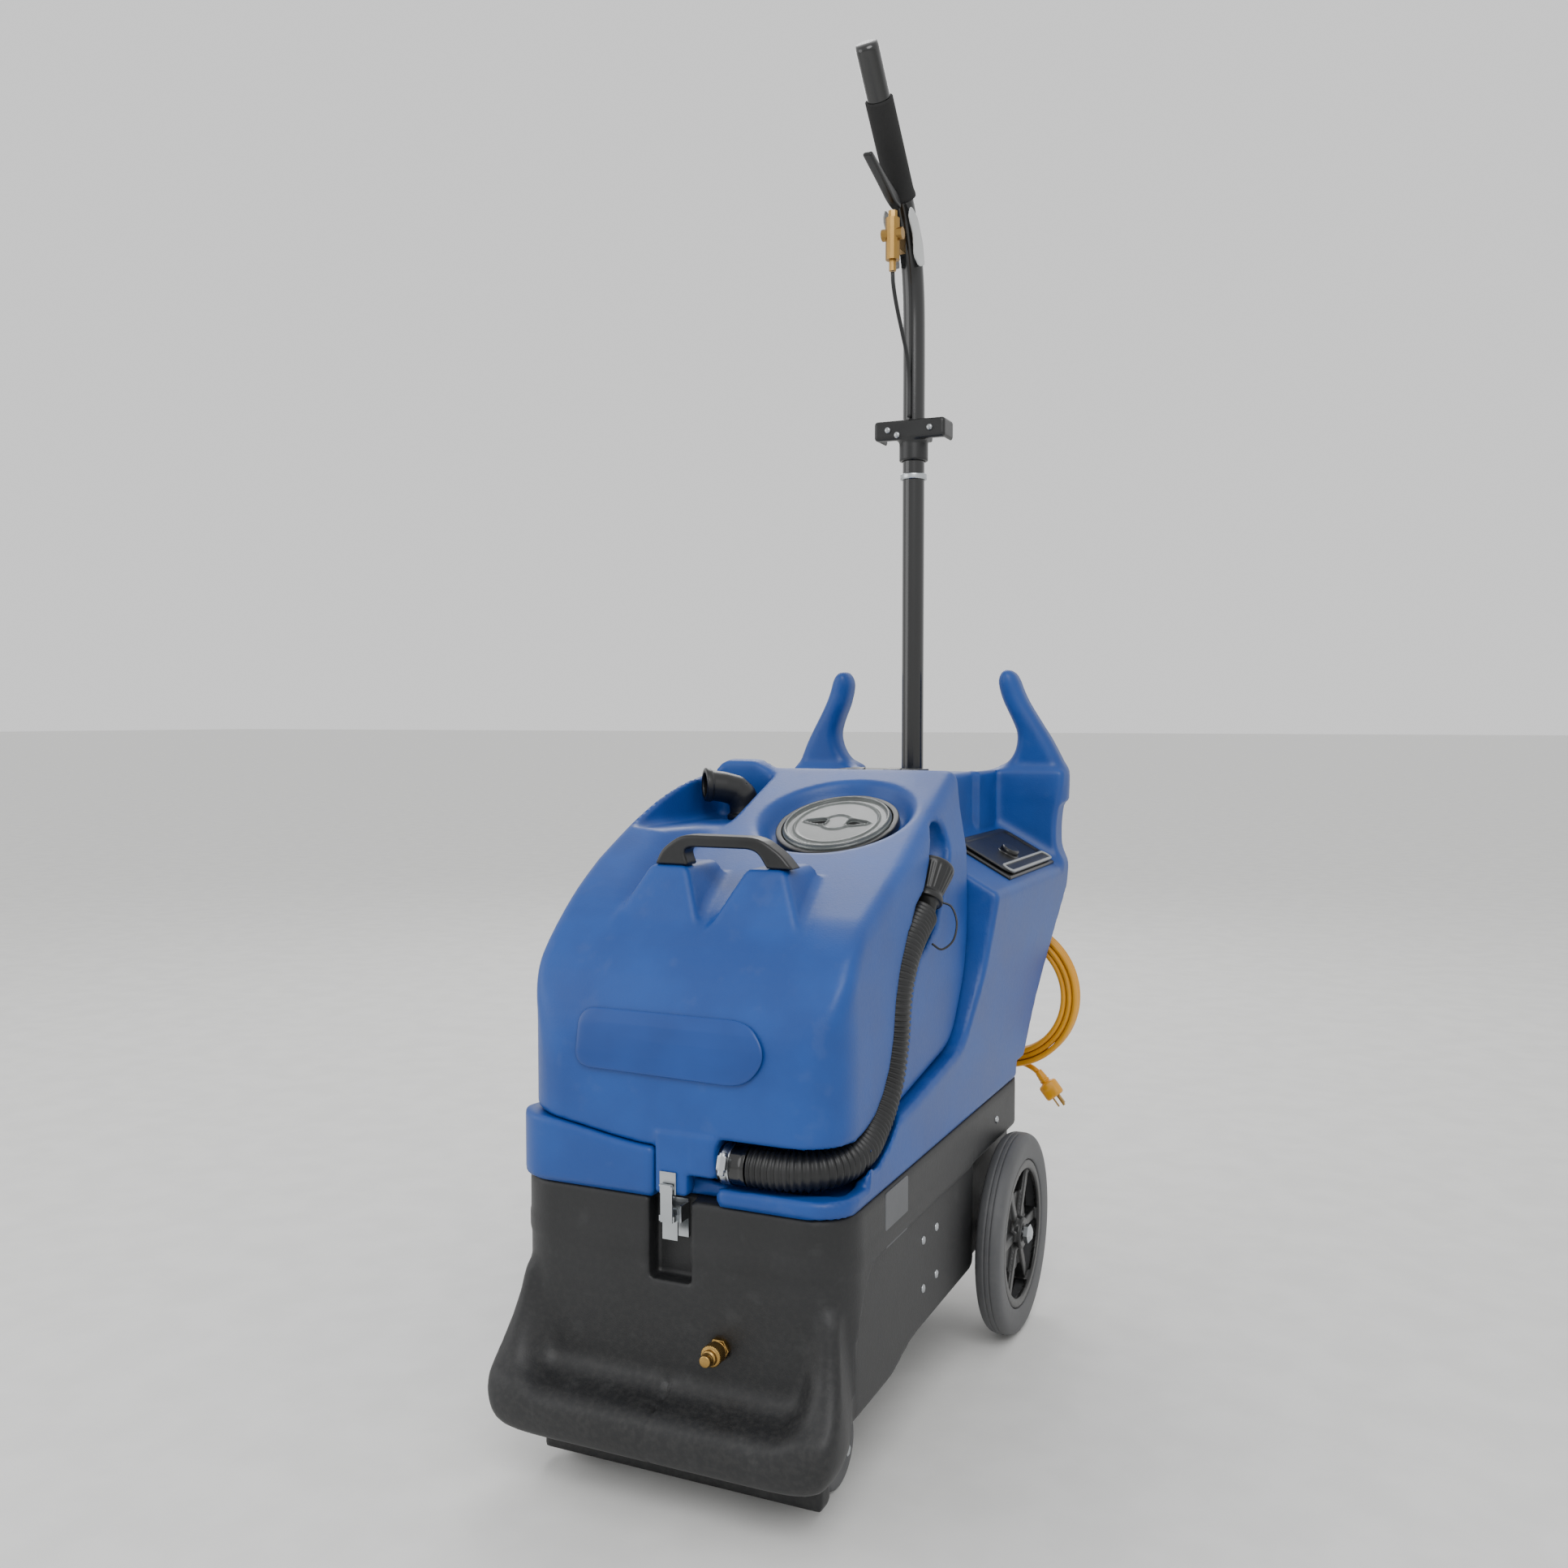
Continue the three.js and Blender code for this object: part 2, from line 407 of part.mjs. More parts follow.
function makeRecoveryTank() {
  const sides = extrudeY([...tankSides(-1).reverse(), ...tankSides(1)], -20, 600);
  const rounded = extrudeZ(plan(TANK_HALF, -5, 560, 75, 20), 400, 1000);
  const shoulder = extrudeX(ridge, -TANK_HALF, VAC_POCKET[0]);
  const ramp = new THREE.Matrix4();
  ramp.elements[2] = -0.5;
  ramp.elements[6] = FACET_SLOPE;
  const slope = placed(box(VAC_POCKET[0] - 1, VAC_POCKET[1], 40, 543, 0, 200), ramp)
    .translate([0, 0, 818 - FACET_SLOPE * 390 - 200 - 0.5 * 95])
    .intersect(extrudeX(ridge, VAC_POCKET[0] - 1, VAC_POCKET[1]));
  const bosses = both((s) => extrudeX([[88, 690], [104, 722], [118, 763], [160, 763], [190, 730], [150, 690]], -25, 25)
    .translate([s * 73 + 5, 0, 0]));
  const body = extrudeX(tankOutline, -TANK_HALF, TANK_HALF).add(shoulder).add(slope)
    .intersect(sides).intersect(rounded).add(bosses)
    .subtract(towerSide);
  const tongue = box(TONGUE[0], 24, -3, 20, TONGUE_Z, CRADLE_Z + 6)
    .add(box(23, TONGUE[1], -3, 50, SHELF_Z + 10, CRADLE_Z + 6));
  const port = rod(PORT_R, TONGUE[1] - 2, TONGUE[1] + 30, 20).rotate([0, 90, 0]).translate([0, 22, HOSE_Z]);
  const inside = extrudeX(hollow, -TANK_HALF + 14, 165)
    .subtract(box(VAC_POCKET[0] - 7, VAC_POCKET[1] + 7, 230, 560, VAC_POCKET[4] - 7, 1000)).subtract(lidGuard);
  return body.subtract(box(TONGUE[1] + 2, 260, -20, 60, 420, 449)).subtract(channel).add(tongue).add(port)
    .subtract(box(...VAC_POCKET)).subtract(lidRecess).subtract(inside)
    .subtract(placed(rod(62, -80, 20), LID_FRAME));
}
const lift = pivot(0, 0, 0);
add('recovery_tank', makeRecoveryTank(), BLUE, lift);

// handle on two bosses
const handleOuter = [[-88, 763.4], [-78, 780], [-50, 803], [60, 803], [90, 780], [108, 763.4]];
const handleInner = [[72, 763.4], [58, 783], [48, 787], [-38, 787], [-46, 783], [-40, 763.4]];
add('tank_handle', extrudeY([...handleOuter, ...handleInner], 122, 152), MOULDED, lift);

// lid ring and its screw-in lid
const lidSeat = pivot(...LID_C, lift);
lidSeat.rotation.x = THREE.MathUtils.degToRad(LID_TILT);
const ringProfile = [[62, SEAT_Z + GAP], [RING_R, SEAT_Z + GAP], [RING_R, -1], [LID_R + RUN_GAP, -1],
  [LID_R + RUN_GAP, -7], [62, -7], [62, SEAT_Z + GAP]];
add('lid_ring', turned(ringProfile, ROUND), MOULDED, lidSeat);
const fingerHole = (s) => box(-14, 14, -9, 9, 1, 12).translate([s * 36, 0, 0]);
const lidSolid = turned([[0, -6.4], [LID_R, -6.4], [LID_R, 1], [74, 4], [30, 5], [0, 5]], ROUND).subtract(both(fingerHole));
add('recovery_lid', lidSolid, CLEAR, lidSeat);

// intake elbow in its pocket, standpipe and float inside
const ELBOW = [-125, 468, VAC_POCKET[4]];
const elbowRoute = [[0, 0, 4], [0, 0, 22], [-8, -8, 40], [-24, -22, 49], [-44, -38, 54]];
const elbowSolid = sweep(elbowRoute, 23, 16, 10).add(rod(27, GAP, 8, 20))
  .subtract(sweep([[-12, -12, 42], [-24, -22, 49], [-44, -38, 54], [-60, -51, 58]], 18, 16, 8));
add('intake_elbow', elbowSolid, MOULDED, pivot(...ELBOW, lift));
const pipe = pivot(-45, 285, 477, lift);
add('standpipe', turned([[19, 12], [22, 12], [22, 225], [19, 225], [19, 12]], 20), MOULDED, pipe);
add('float_cage', turned([[8, 225.6], [24, 225.6], [24, 272], [21, 272], [21, 229], [8, 229], [8, 225.6]], 20),
  MOULDED, pipe);
const FLOAT_R = 15;
add('float_ball', solidFrom(new THREE.SphereGeometry(FLOAT_R, 16, 10)), CLEAR,
  pivot(0, 0, 229 + GAP + FLOAT_R, pipe));

// drain hose: cuff on the port, clamp band, hose, dump valve cap
const alongX = (profile, sides) => turned(profile, sides).rotate([0, 90, 0]);
const cuff = pivot(TONGUE[1], 22, HOSE_Z, lift);
add('hose_cuff', alongX([[PORT_R + GAP, 1], [HOSE_R - 0.8, 1], [HOSE_R - 0.8, 37.4], [PORT_R + GAP, 37.4],
  [PORT_R + GAP, 1]], 20), MOULDED, cuff);
add('hose_clamp', alongX([[HOSE_R - 0.4, 5], [HOSE_R + 1, 5], [HOSE_R + 1, 17], [HOSE_R - 0.4, 17],
  [HOSE_R - 0.4, 5]], 20), ZINC, cuff);
add('drain_hose', sweep(hoseRoute, HOSE_R, 12, 36), MOULDED, lift);
const lean = new THREE.Vector3(...CAP_END).sub(new THREE.Vector3(...CUFF_END));
const capFrame = pivot(...CUFF_END, lift);
capFrame.quaternion.setFromUnitVectors(EZ, lean.clone().normalize());
const capLength = lean.length();
add('drain_cap', turned([[0, -14], [17, -14], [17, 14], [20, 18], [30, capLength - 4], [27, capLength], [0, capLength]],
  20), MOULDED, capFrame);

// ---------- latch ----------
const LATCH_PIN = [8, 352];
const plate = box(-LATCH_HALF, LATCH_HALF, RECESS_DEPTH - 3.4, RECESS_DEPTH - GAP, 318, 366)
  .add(both((s) => box(s * 12.5 - 1.5, s * 12.5 + 1.5, 3, RECESS_DEPTH - 3, 342, 362)));
add('latch_plate', plate, ZINC);
const lever = pivot(0, ...LATCH_PIN);
add('latch_lever', box(-10.4, 10.4, -8, -5.5, -32, 6).add(box(-5, 5, -6, 3, -4, 4)).add(rodX(3, -10.4, 10.4, 0, 0, 12))
  .add(both((s) => box(s * 9.4 - 1, s * 9.4 + 1, -16.6, -6, -7, 0))), ZINC, lever);
const HOOK_PIN = [-14, -4];
const hook = pivot(0, ...HOOK_PIN, lever);
const claw = box(-8, 8, -3.4, -1.4, -4, 43).add(box(-8, 8, -6.4, -2, 41, 43)).add(rodX(2.4, -8, 8, 0, 0, 10));
add('latch_hook', claw, ZINC, hook);
const keeperZ = [TONGUE_Z + 2, 405];
add('latch_keeper', box(-11, 11, -3 - GAP - 2, -3 - GAP, ...keeperZ).add(box(-8, 8, -6.6, -5, 384, 388)), ZINC, lift);

// ---------- wand, standing in the rear recess ----------
const HEAD_Z = RECESS_Z + GAP;
const wand = pivot(0, WAND_Y, 0);
const wandRoute = [[0, 0, 672], [0, 0, 900], [0, 0, 1150], [0, 0, 1400], [0, 0, 1600], [0, -5, 1690], [0, -22, 1755],
  [0, -62, 1822], [0, -118, 1884], [0, -177, 1948], [0, -235, 2014]];
const along = (from, to) => new THREE.Vector3(0, to[0] - from[0], to[1] - from[1]);
const GRIP_FROM = [-66, 1826.5];
const GRIP_TO = [-177, 1948];
const gripAxis = along(GRIP_FROM, GRIP_TO);
const gripTurn = new THREE.Matrix4().makeRotationX(Math.atan2(-gripAxis.y, gripAxis.z))
  .setPosition(0, ...GRIP_FROM);
const stem = sweep(wandRoute.slice(0, 9), WAND_R, 12, 26);
const gripCore = placed(turned([[0, 4], [WAND_R, 4], [WAND_R, gripAxis.length() + 90], [0, gripAxis.length() + 90]],
  16), gripTurn);
const gripSleeve = placed(turned([[WAND_R + GAP, 0], [GRIP_R, 0], [GRIP_R, gripAxis.length()],
  [WAND_R + GAP, gripAxis.length()], [WAND_R + GAP, 0]], 20), gripTurn);
const sleeveBore = placed(rod(WAND_R + 0.2, -30, gripAxis.length() + 200, 16), gripTurn);
const lowerStem = stem.subtract(placed(box(-60, 60, -60, 60, -2, 400), gripTurn));
add('wand_tube', lowerStem.add(placed(rod(WAND_R - 0.6, -16, gripAxis.length() + 86, 16), gripTurn)), MOULDED, wand);
add('wand_grip', gripSleeve.subtract(sleeveBore), BLACK, wand);
const collar = rod(25, 1398, 1434, 20);
const CLAMP_HALF = 64;
add('wand_bracket', collar.add(box(-CLAMP_HALF, CLAMP_HALF, -27, 27, 1433, 1467))
  .subtract(both((s) => box(s * 42 - 16, s * 42 + 16, -14, 40, 1430, 1470)))
  .subtract(rod(WAND_R + 1, 1380, 1480, 20)), BLACK, wand);
const headOutline = [[-HEAD_HALF, HEAD_Z], [HEAD_HALF, HEAD_Z], [HEAD_HALF, HEAD_Z + 18], [30, HEAD_Z + 62],
  [30, HEAD_Z + 70.6], [-30, HEAD_Z + 70.6], [-30, HEAD_Z + 62], [-HEAD_HALF, HEAD_Z + 18]];
add('wand_head', extrudeY(headOutline, -26, 26)
  .subtract(box(-HEAD_HALF + 8, HEAD_HALF - 8, -8, 8, HEAD_Z - 5, HEAD_Z + 14)), STEEL, wand);

const VALVE = [-110, 1748];
const valveBody = rod(12, -36, 32, 12).add(rodX(10, -18, 18, 0, 6, 12))
  .add(rod(6, -54, -34, 10)).add(rod(8, 30, 44, 8)).add(box(-5, 5, 4, 50, -12, 18));
const valve = pivot(0, ...VALVE, wand);
add('wand_valve', valveBody, BRASS, valve);
const TRIGGER_PIN = [-100, 1808];
const trigger = pivot(0, ...TRIGGER_PIN, wand);
add('wand_trigger', extrudeX([[6, -8], [10, 2], [-4, 12], [-128, 40], [-130, 34], [-20, -2]], -8, 8), MOULDED, trigger);
const lineRoute = [[0, VALVE[0], VALVE[1] - 55.5], [0, VALVE[0] + 6, 1668], [0, -62, 1622], [0, -30, 1570],
  [0, -24.5, 1525], [0, -24.5, 1468]];
add('solution_line', sweep(lineRoute, 3.5, 8, 12), MOULDED, wand);

// ---------- power cord, hung on its hook ----------
const [coilX, coilY, coilZ] = COIL_C;
const barTop = coilZ + COIL_IN - GAP - 1.4;
const rearWallY = (z) => TUB_REAR + ((z - RISER_Z - GAP) * (REAR_Y - TUB_REAR)) / (690 - RISER_Z - GAP);
const hookEnd = coilY + COIL_T / 2 + 4;
add('cord_hook', extrudeX([[rearWallY(barTop - 12) + 1, barTop - 12], [hookEnd + 6, barTop - 12],
  [hookEnd + 6, barTop + 14], [hookEnd, barTop + 14], [hookEnd, barTop], [rearWallY(barTop) + 1, barTop]],
coilX - 13, coilX + 13), BLUE);
const coilProfile = [[COIL_IN, -COIL_T / 2], [COIL_OUT, -COIL_T / 2], [COIL_OUT, COIL_T / 2], [COIL_IN, COIL_T / 2],
  [COIL_IN, -COIL_T / 2]];
add('cord_coil', turned(coilProfile, 36).rotate([90, 0, 0]), YELLOW, pivot(...COIL_C));
const GLAND = [150, TUB_REAR, 330];
const glandProfile = [[0, GAP], [13, GAP], [13, 6], [8, 9], [CORD_R + 1, 40], [0, 40]];
add('cord_gland', turned(glandProfile, 16).rotate([-90, 0, 0]), MOULDED, pivot(...GLAND));
const COIL_BOTTOM = coilZ - COIL_OUT;
const tailRoute = [[150, TUB_REAR + 40.4, 330], [150, 845, 329], [148, 868, 318], [140, 890, 300], [126, 912, 288],
  [108, 934, 288], [88, 950, 300], [70, 958, 322], [62, 961, 341]];
add('cord_tail', sweep(tailRoute, CORD_R, 8, 14), YELLOW);
const leadRoute = [[158, coilY + 4, COIL_BOTTOM - 6], [172, coilY + 4, COIL_BOTTOM - 9],
  [188, coilY + 4, COIL_BOTTOM - 18], [204, coilY + 5, COIL_BOTTOM - 30], [216, coilY + 5, COIL_BOTTOM - 36]];
add('cord_lead', sweep(leadRoute, CORD_R, 8, 8), YELLOW);
const plugBody = turned([[0, 0.4], [7, 0.4], [9, 8], [14, 14], [14, 34], [0, 34]], 16)
  .add(both((s) => box(-3.2, 3.2, s * 6.3 - 0.8, s * 6.3 + 0.8, 33, 50))).add(rod(2.4, 33, 52, 10).translate([7, 0, 0]));
const plug = pivot(218.2, coilY + 5, COIL_BOTTOM - 36.6);
plug.rotation.y = THREE.MathUtils.degToRad(102);
add('cord_plug', plugBody, YELLOW, plug);

// ---------- origin: on the floor, under the middle of the machine without its cord ----------
const CORD_NODES = ['cord_coil', 'cord_tail', 'cord_lead', 'cord_plug', 'cord_gland'];
group.updateMatrixWorld(true);
const bounds = new THREE.Box3();
group.traverse((piece) => {
  if (piece.isMesh && !CORD_NODES.includes(piece.name)) bounds.expandByObject(piece, true);
});
group.position.set(-(bounds.min.x + bounds.max.x) / 2, -(bounds.min.y + bounds.max.y) / 2, -bounds.min.z);
group.updateMatrixWorld(true);

export default group;
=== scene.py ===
"""Looks of a wheeled carpet extractor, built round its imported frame.

Every length below is in millimetres in the machine's own axes: X to the right, Y from the front face of
the tub to the rear, Z up from the floor. Place.metres turns it into the frame's metres.
"""

import logging
import math
from dataclasses import dataclass, field
from enum import Enum
from typing import Callable, Sequence

import bmesh
import bpy
import numpy as np
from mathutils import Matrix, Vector


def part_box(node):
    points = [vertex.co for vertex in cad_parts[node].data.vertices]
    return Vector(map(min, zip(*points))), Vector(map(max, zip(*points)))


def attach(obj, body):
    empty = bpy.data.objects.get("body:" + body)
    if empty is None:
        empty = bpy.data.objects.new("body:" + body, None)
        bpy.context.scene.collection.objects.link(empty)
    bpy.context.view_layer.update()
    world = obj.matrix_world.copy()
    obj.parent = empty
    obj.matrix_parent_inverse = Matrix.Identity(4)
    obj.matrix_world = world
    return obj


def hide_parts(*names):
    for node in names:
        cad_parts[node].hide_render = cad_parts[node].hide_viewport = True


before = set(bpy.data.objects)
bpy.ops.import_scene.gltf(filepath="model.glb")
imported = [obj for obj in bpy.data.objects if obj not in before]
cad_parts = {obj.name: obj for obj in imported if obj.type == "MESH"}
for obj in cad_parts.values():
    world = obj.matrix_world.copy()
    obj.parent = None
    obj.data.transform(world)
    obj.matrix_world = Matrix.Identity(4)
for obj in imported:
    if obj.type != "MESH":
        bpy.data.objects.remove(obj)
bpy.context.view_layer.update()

logging.basicConfig(level=logging.INFO, format="%(message)s")
LOG = logging.getLogger("extractor")

Array = np.ndarray
Field = Callable[[Array, Array, Array], Array]
EPS = 1e-9


# ---------------------------------------------------------------- places and meshes
class Body(Enum):
    """The frame's bodies that pieces ride on."""

    BASE = "base"
    TANK = "upper_tank"
    LID = "screw_lid"
    FLOAT = "float"
    FILL = "fill_door"
    LATCH = "latch_arm"
    LINK = "latch_link"
    TRIGGER = "trigger"
    WHEEL_LEFT = "rear_wheel_left"
    WHEEL_RIGHT = "rear_wheel_right"
    FORK_LEFT = "caster_left"
    FORK_RIGHT = "caster_right"
    ROLLER_LEFT = "caster_roller_left"
    ROLLER_RIGHT = "caster_roller_right"
    VACUUM = "vacuum_rocker"
    PUMP = "pump_rocker"


@dataclass(frozen=True)
class Place:
    """Turns the machine's millimetres into the frame's metres."""

    shift_y: float

    def metres(self, points: Array) -> Array:
        """Points in millimetres, shape (..., 3), as metres in the frame."""
        return (np.asarray(points, float) + (0.0, self.shift_y, 0.0)) / 1000.0


WHEEL_Y = 650.0
WHEEL_R = 152.4
_low, _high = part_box("rear_tyre_right")
PLACE = Place(1000.0 * (_low.y + _high.y) / 2 - WHEEL_Y)


@dataclass(frozen=True)
class Pose:
    """A local frame: an origin and three unit axes, as rows."""

    origin: tuple[float, float, float] = (0.0, 0.0, 0.0)
    axes: tuple[tuple[float, float, float], ...] = ((1, 0, 0), (0, 1, 0), (0, 0, 1))

    def out(self, local: Array) -> Array:
        """Local points, shape (..., 3), in the machine's axes."""
        return np.asarray(local, float) @ np.asarray(self.axes, float) + np.asarray(self.origin, float)

    def into(self, x: Array, y: Array, z: Array) -> tuple[Array, Array, Array]:
        """Machine coordinates as local ones, still broadcasting."""
        d = [c - o for c, o in zip((x, y, z), self.origin)]
        return tuple(sum(a * c for a, c in zip(axis, d)) for axis in self.axes)


def pose_along(origin: Sequence[float], direction: Sequence[float],
               side: Sequence[float] = (1, 0, 0)) -> Pose:
    """A pose whose third axis is a direction.

    Args:
        origin: where the pose stands.
        direction: where its Z axis points.
        side: roughly where its X axis points.

    Returns:
        The pose, with its axes square to each other.
    """
    up = np.asarray(direction, float) / np.linalg.norm(direction)
    across = np.asarray(side, float) - np.dot(side, up) * up
    across /= np.linalg.norm(across)
    return Pose(tuple(map(float, origin)), (tuple(across), tuple(np.cross(up, across)), tuple(up)))


def mesh_object(name: str, points: Array, faces: Array, smooth: bool = True) -> bpy.types.Object:
    """A linked object from points in millimetres and an array of quads or triangles.

    Args:
        name: the piece's name.
        points: (n, 3) millimetres.
        faces: (m, 3) or (m, 4) corner numbers, anticlockwise from outside.
        smooth: whether the faces are shaded smooth.

    Returns:
        The object, at the origin, with its place in its mesh.
    """
    mesh = bpy.data.meshes.new(name)
    faces = np.asarray(faces, np.int32)
    sides = faces.shape[1]
    mesh.vertices.add(len(points))
    mesh.vertices.foreach_set("co", PLACE.metres(points).astype(np.float32).ravel())
    mesh.loops.add(faces.size)
    mesh.loops.foreach_set("vertex_index", faces.ravel())
    mesh.polygons.add(len(faces))
    mesh.polygons.foreach_set("loop_start", np.arange(0, faces.size, sides, dtype=np.int32))
    mesh.update(calc_edges=True)
    mesh.validate()
    work = bmesh.new()
    work.from_mesh(mesh)
    bmesh.ops.remove_doubles(work, verts=work.verts, dist=2e-6)
    bmesh.ops.dissolve_degenerate(work, dist=1e-7, edges=work.edges)
    work.to_mesh(mesh)
    work.free()
    mesh.polygons.foreach_set("use_smooth", np.full(len(mesh.polygons), smooth))
    obj = bpy.data.objects.new(name, mesh)
    bpy.context.scene.collection.objects.link(obj)
    return obj


def finish_piece(obj: bpy.types.Object, body: Body, stuff: bpy.types.Material,
                 stands_for: Sequence[str] = ()) -> bpy.types.Object:
    """Gives a piece its material and body, and hides the nodes that it stands for."""
    obj.data.materials.clear()
    obj.data.materials.append(stuff)
    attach(obj, body.value)
    if stands_for:
        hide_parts(*stands_for)
    LOG.info("%s: %d faces on %s", obj.name, len(obj.data.polygons), body.value)
    return obj


# ---------------------------------------------------------------- surfaces on a grid
def grid_faces(rows: int, columns: int, wrap_rows: bool, wrap_columns: bool) -> Array:
    """Quads of a grid of points, row by row.

    Args:
        rows: points along the first parameter.
        columns: points along the second.
        wrap_rows: whether the last row joins the first.
        wrap_columns: whether the last column joins the first.

    Returns:
        (m, 4) corner numbers.
    """
    i = np.arange(rows if wrap_rows else rows - 1)[:, None]
    j = np.arange(columns if wrap_columns else columns - 1)[None, :]
    i2, j2 = (i + 1) % rows, (j + 1) % columns
    corners = [i * columns + j, i * columns + j2, i2 * columns + j2, i2 * columns + j]
    return np.stack([np.broadcast_to(c, (i.shape[0], j.shape[1])) for c in corners], -1).reshape(-1, 4)


def outward(obj: bpy.types.Object) -> bpy.types.Object:
    """Turns a closed mesh's faces outwards."""
    work = bmesh.new()
    work.from_mesh(obj.data)
    bmesh.ops.recalc_face_normals(work, faces=work.faces)
    work.to_mesh(obj.data)
    work.free()
    return obj


def revolved(name: str, profile: Sequence[tuple[float, float]], pose: Pose, sides: int = 64,
             closed: bool = False, ripple: Callable[[Array, Array], Array] | None = None) -> bpy.types.Object:
    """A profile turned about a pose's Z axis.

    The point at (radius r, height h) and angle a is (r cos a, r sin a, h); a ripple adds to r.

    Args:
        name: the piece's name.
        profile: (radius, height) points; it starts and ends on the axis unless it is closed.
        pose: the axis.
        sides: steps round the axis.
        closed: whether the profile's last point joins its first.
        ripple: what is added to the radius, from the angle and the height.

    Returns:
        The closed piece.
    """
    line = np.asarray(profile, float)
    angle = np.linspace(0, 2 * math.pi, sides, endpoint=False)[None, :]
    radius, height = np.broadcast_arrays(line[:, :1], line[:, :1] * 0 + line[:, 1:2])
    radius = np.broadcast_to(radius, (len(line), sides))
    height = np.broadcast_to(height, (len(line), sides))
    if ripple is not None:
        radius = radius + ripple(np.broadcast_to(angle, radius.shape), height) * (radius > EPS)
    points = np.stack([radius * np.cos(angle), radius * np.sin(angle), height], -1)
    faces = grid_faces(len(line), sides, closed, True)
    return outward(mesh_object(name, pose.out(points).reshape(-1, 3), faces))


def rounded(points: Sequence[tuple[float, ...]], closed: bool = True, steps: int = 5) -> Array:
    """An outline with its corners turned into arcs.

    Each corner (u, v, radius) becomes a quadratic curve that leaves its sides a radius away.

    Args:
        points: (u, v) or (u, v, radius) corners.
        closed: whether the last corner joins the first.
        steps: points per rounded corner.

    Returns:
        (n, 2) points.
    """
    full = [(p[0], p[1], p[2] if len(p) > 2 else 0.0) for p in points]
    out: list[Array] = []
    t = np.linspace(0, 1, steps)[:, None]
    for k, (u, v, radius) in enumerate(full):
        here = np.array([u, v])
        ends = not closed and k in (0, len(full) - 1)
        if radius <= 0 or ends:
            out.append(here[None])
            continue
        before = np.array(full[k - 1][:2]) - here
        after = np.array(full[(k + 1) % len(full)][:2]) - here
        reach = [min(radius, 0.49 * np.linalg.norm(d)) / max(np.linalg.norm(d), EPS) for d in (before, after)]
        a, b = here + before * reach[0], here + after * reach[1]
        out.append((1 - t) ** 2 * a + 2 * t * (1 - t) * here + t ** 2 * b)
    return np.concatenate(out)


def spline(points: Sequence[Sequence[float]], spacing: float) -> Array:
    """Points evenly spaced along a Catmull-Rom curve through the given ones.

    Between two points the curve is the usual cubic with tangents of half the neighbours' distance.

    Args:
        points: (n, 3) or (n, 2) points.
        spacing: the wanted distance between samples.

    Returns:
        The samples, the ends included.
    """
    p = np.asarray(points, float)
    padded = np.concatenate([2 * p[:1] - p[1:2], p, 2 * p[-1:] - p[-2:-1]])
    t = np.linspace(0, 1, 24, endpoint=False)[None, :, None]
    a, b, c, d = (padded[k:len(p) - 1 + k, None] for k in range(4))
    fine = 0.5 * (2 * b + (c - a) * t + (2 * a - 5 * b + 4 * c - d) * t ** 2 + (3 * b - a - 3 * c + d) * t ** 3)
    fine = np.concatenate([fine.reshape(-1, p.shape[1]), p[-1:]])
    run = np.concatenate([[0], np.cumsum(np.linalg.norm(np.diff(fine, axis=0), axis=1))])
    want = np.linspace(0, run[-1], max(2, int(round(run[-1] / spacing)) + 1))
    return np.stack([np.interp(want, run, fine[:, k]) for k in range(p.shape[1])], -1)


def path_frames(line: Array) -> tuple[Array, Array]:
    """Two unit vectors square to a path at each point, carried along it without twist."""
    tangent = np.gradient(line, axis=0)
    tangent /= np.linalg.norm(tangent, axis=1)[:, None]
    start = np.eye(3)[np.argmin(np.abs(tangent[0]))]
    across = np.empty_like(line)
    current = start
    for k, direction in enumerate(tangent):
        current = current - np.dot(current, direction) * direction
        current = current / np.linalg.norm(current)
        across[k] = current
    return across, np.cross(tangent, across)


def swept(name: str, line: Array, radius: Array | float, sides: int = 20) -> bpy.types.Object:
    """A round section carried along a path, closed at both ends.

    The point at path step s and angle a is line(s) + r(s) (cos a n(s) + sin a b(s)).

    Args:
        name: the piece's name.
        line: (n, 3) path.
        radius: one radius, or one per step.
        sides: steps round the section.

    Returns:
        The closed piece.
    """
    across, other = path_frames(line)
    angle = np.linspace(0, 2 * math.pi, sides, endpoint=False)
    size = np.broadcast_to(np.asarray(radius, float), (len(line),))
    ring = size[:, None, None] * (np.cos(angle)[None, :, None] * across[:, None]
                                  + np.sin(angle)[None, :, None] * other[:, None])
    body = line[:, None] + ring
    caps = [np.repeat(line[k][None, None], sides, 1) for k in (0, -1)]
    points = np.concatenate([caps[0], body, caps[1]])
    return outward(mesh_object(name, points.reshape(-1, 3), grid_faces(len(points), sides, False, True)))


# ---------------------------------------------------------------- distance fields
# The moulded shells blend boxes, wedges and channels with soft fillets in every direction, which no single
# two-parameter surface gives. They are signed distances, below zero inside, worked out on whole arrays.
def smoothstep(low: float, high: float, value: Array) -> Array:
    """0 below low, 1 above high, and the cubic 3t^2 - 2t^3 between."""
    t = np.clip((value - low) / (high - low), 0, 1)
    return t * t * (3 - 2 * t)


def meet(a: Array, b: Array, radius: Array | float = 0.0) -> Array:
    """Where both shapes are, with the edge between them an arc of a radius."""
    if np.ndim(radius) == 0 and radius <= 0:
        return np.maximum(a, b)
    u, v = np.maximum(a + radius, 0), np.maximum(b + radius, 0)
    return np.minimum(np.maximum(a, b), -radius) + np.hypot(u, v)


def join(a: Array, b: Array, radius: Array | float = 0.0) -> Array:
    """Where either shape is, with a fillet of a radius between them."""
    return -meet(-a, -b, radius)


def carve(a: Array, b: Array, radius: Array | float = 0.0) -> Array:
    """The first shape less the second, with the rim rounded."""
    return meet(a, -b, radius)


def slab(value: Array, low: float, high: float) -> Array:
    """Between two parallel planes."""
    return np.abs(value - (low + high) / 2) - (high - low) / 2


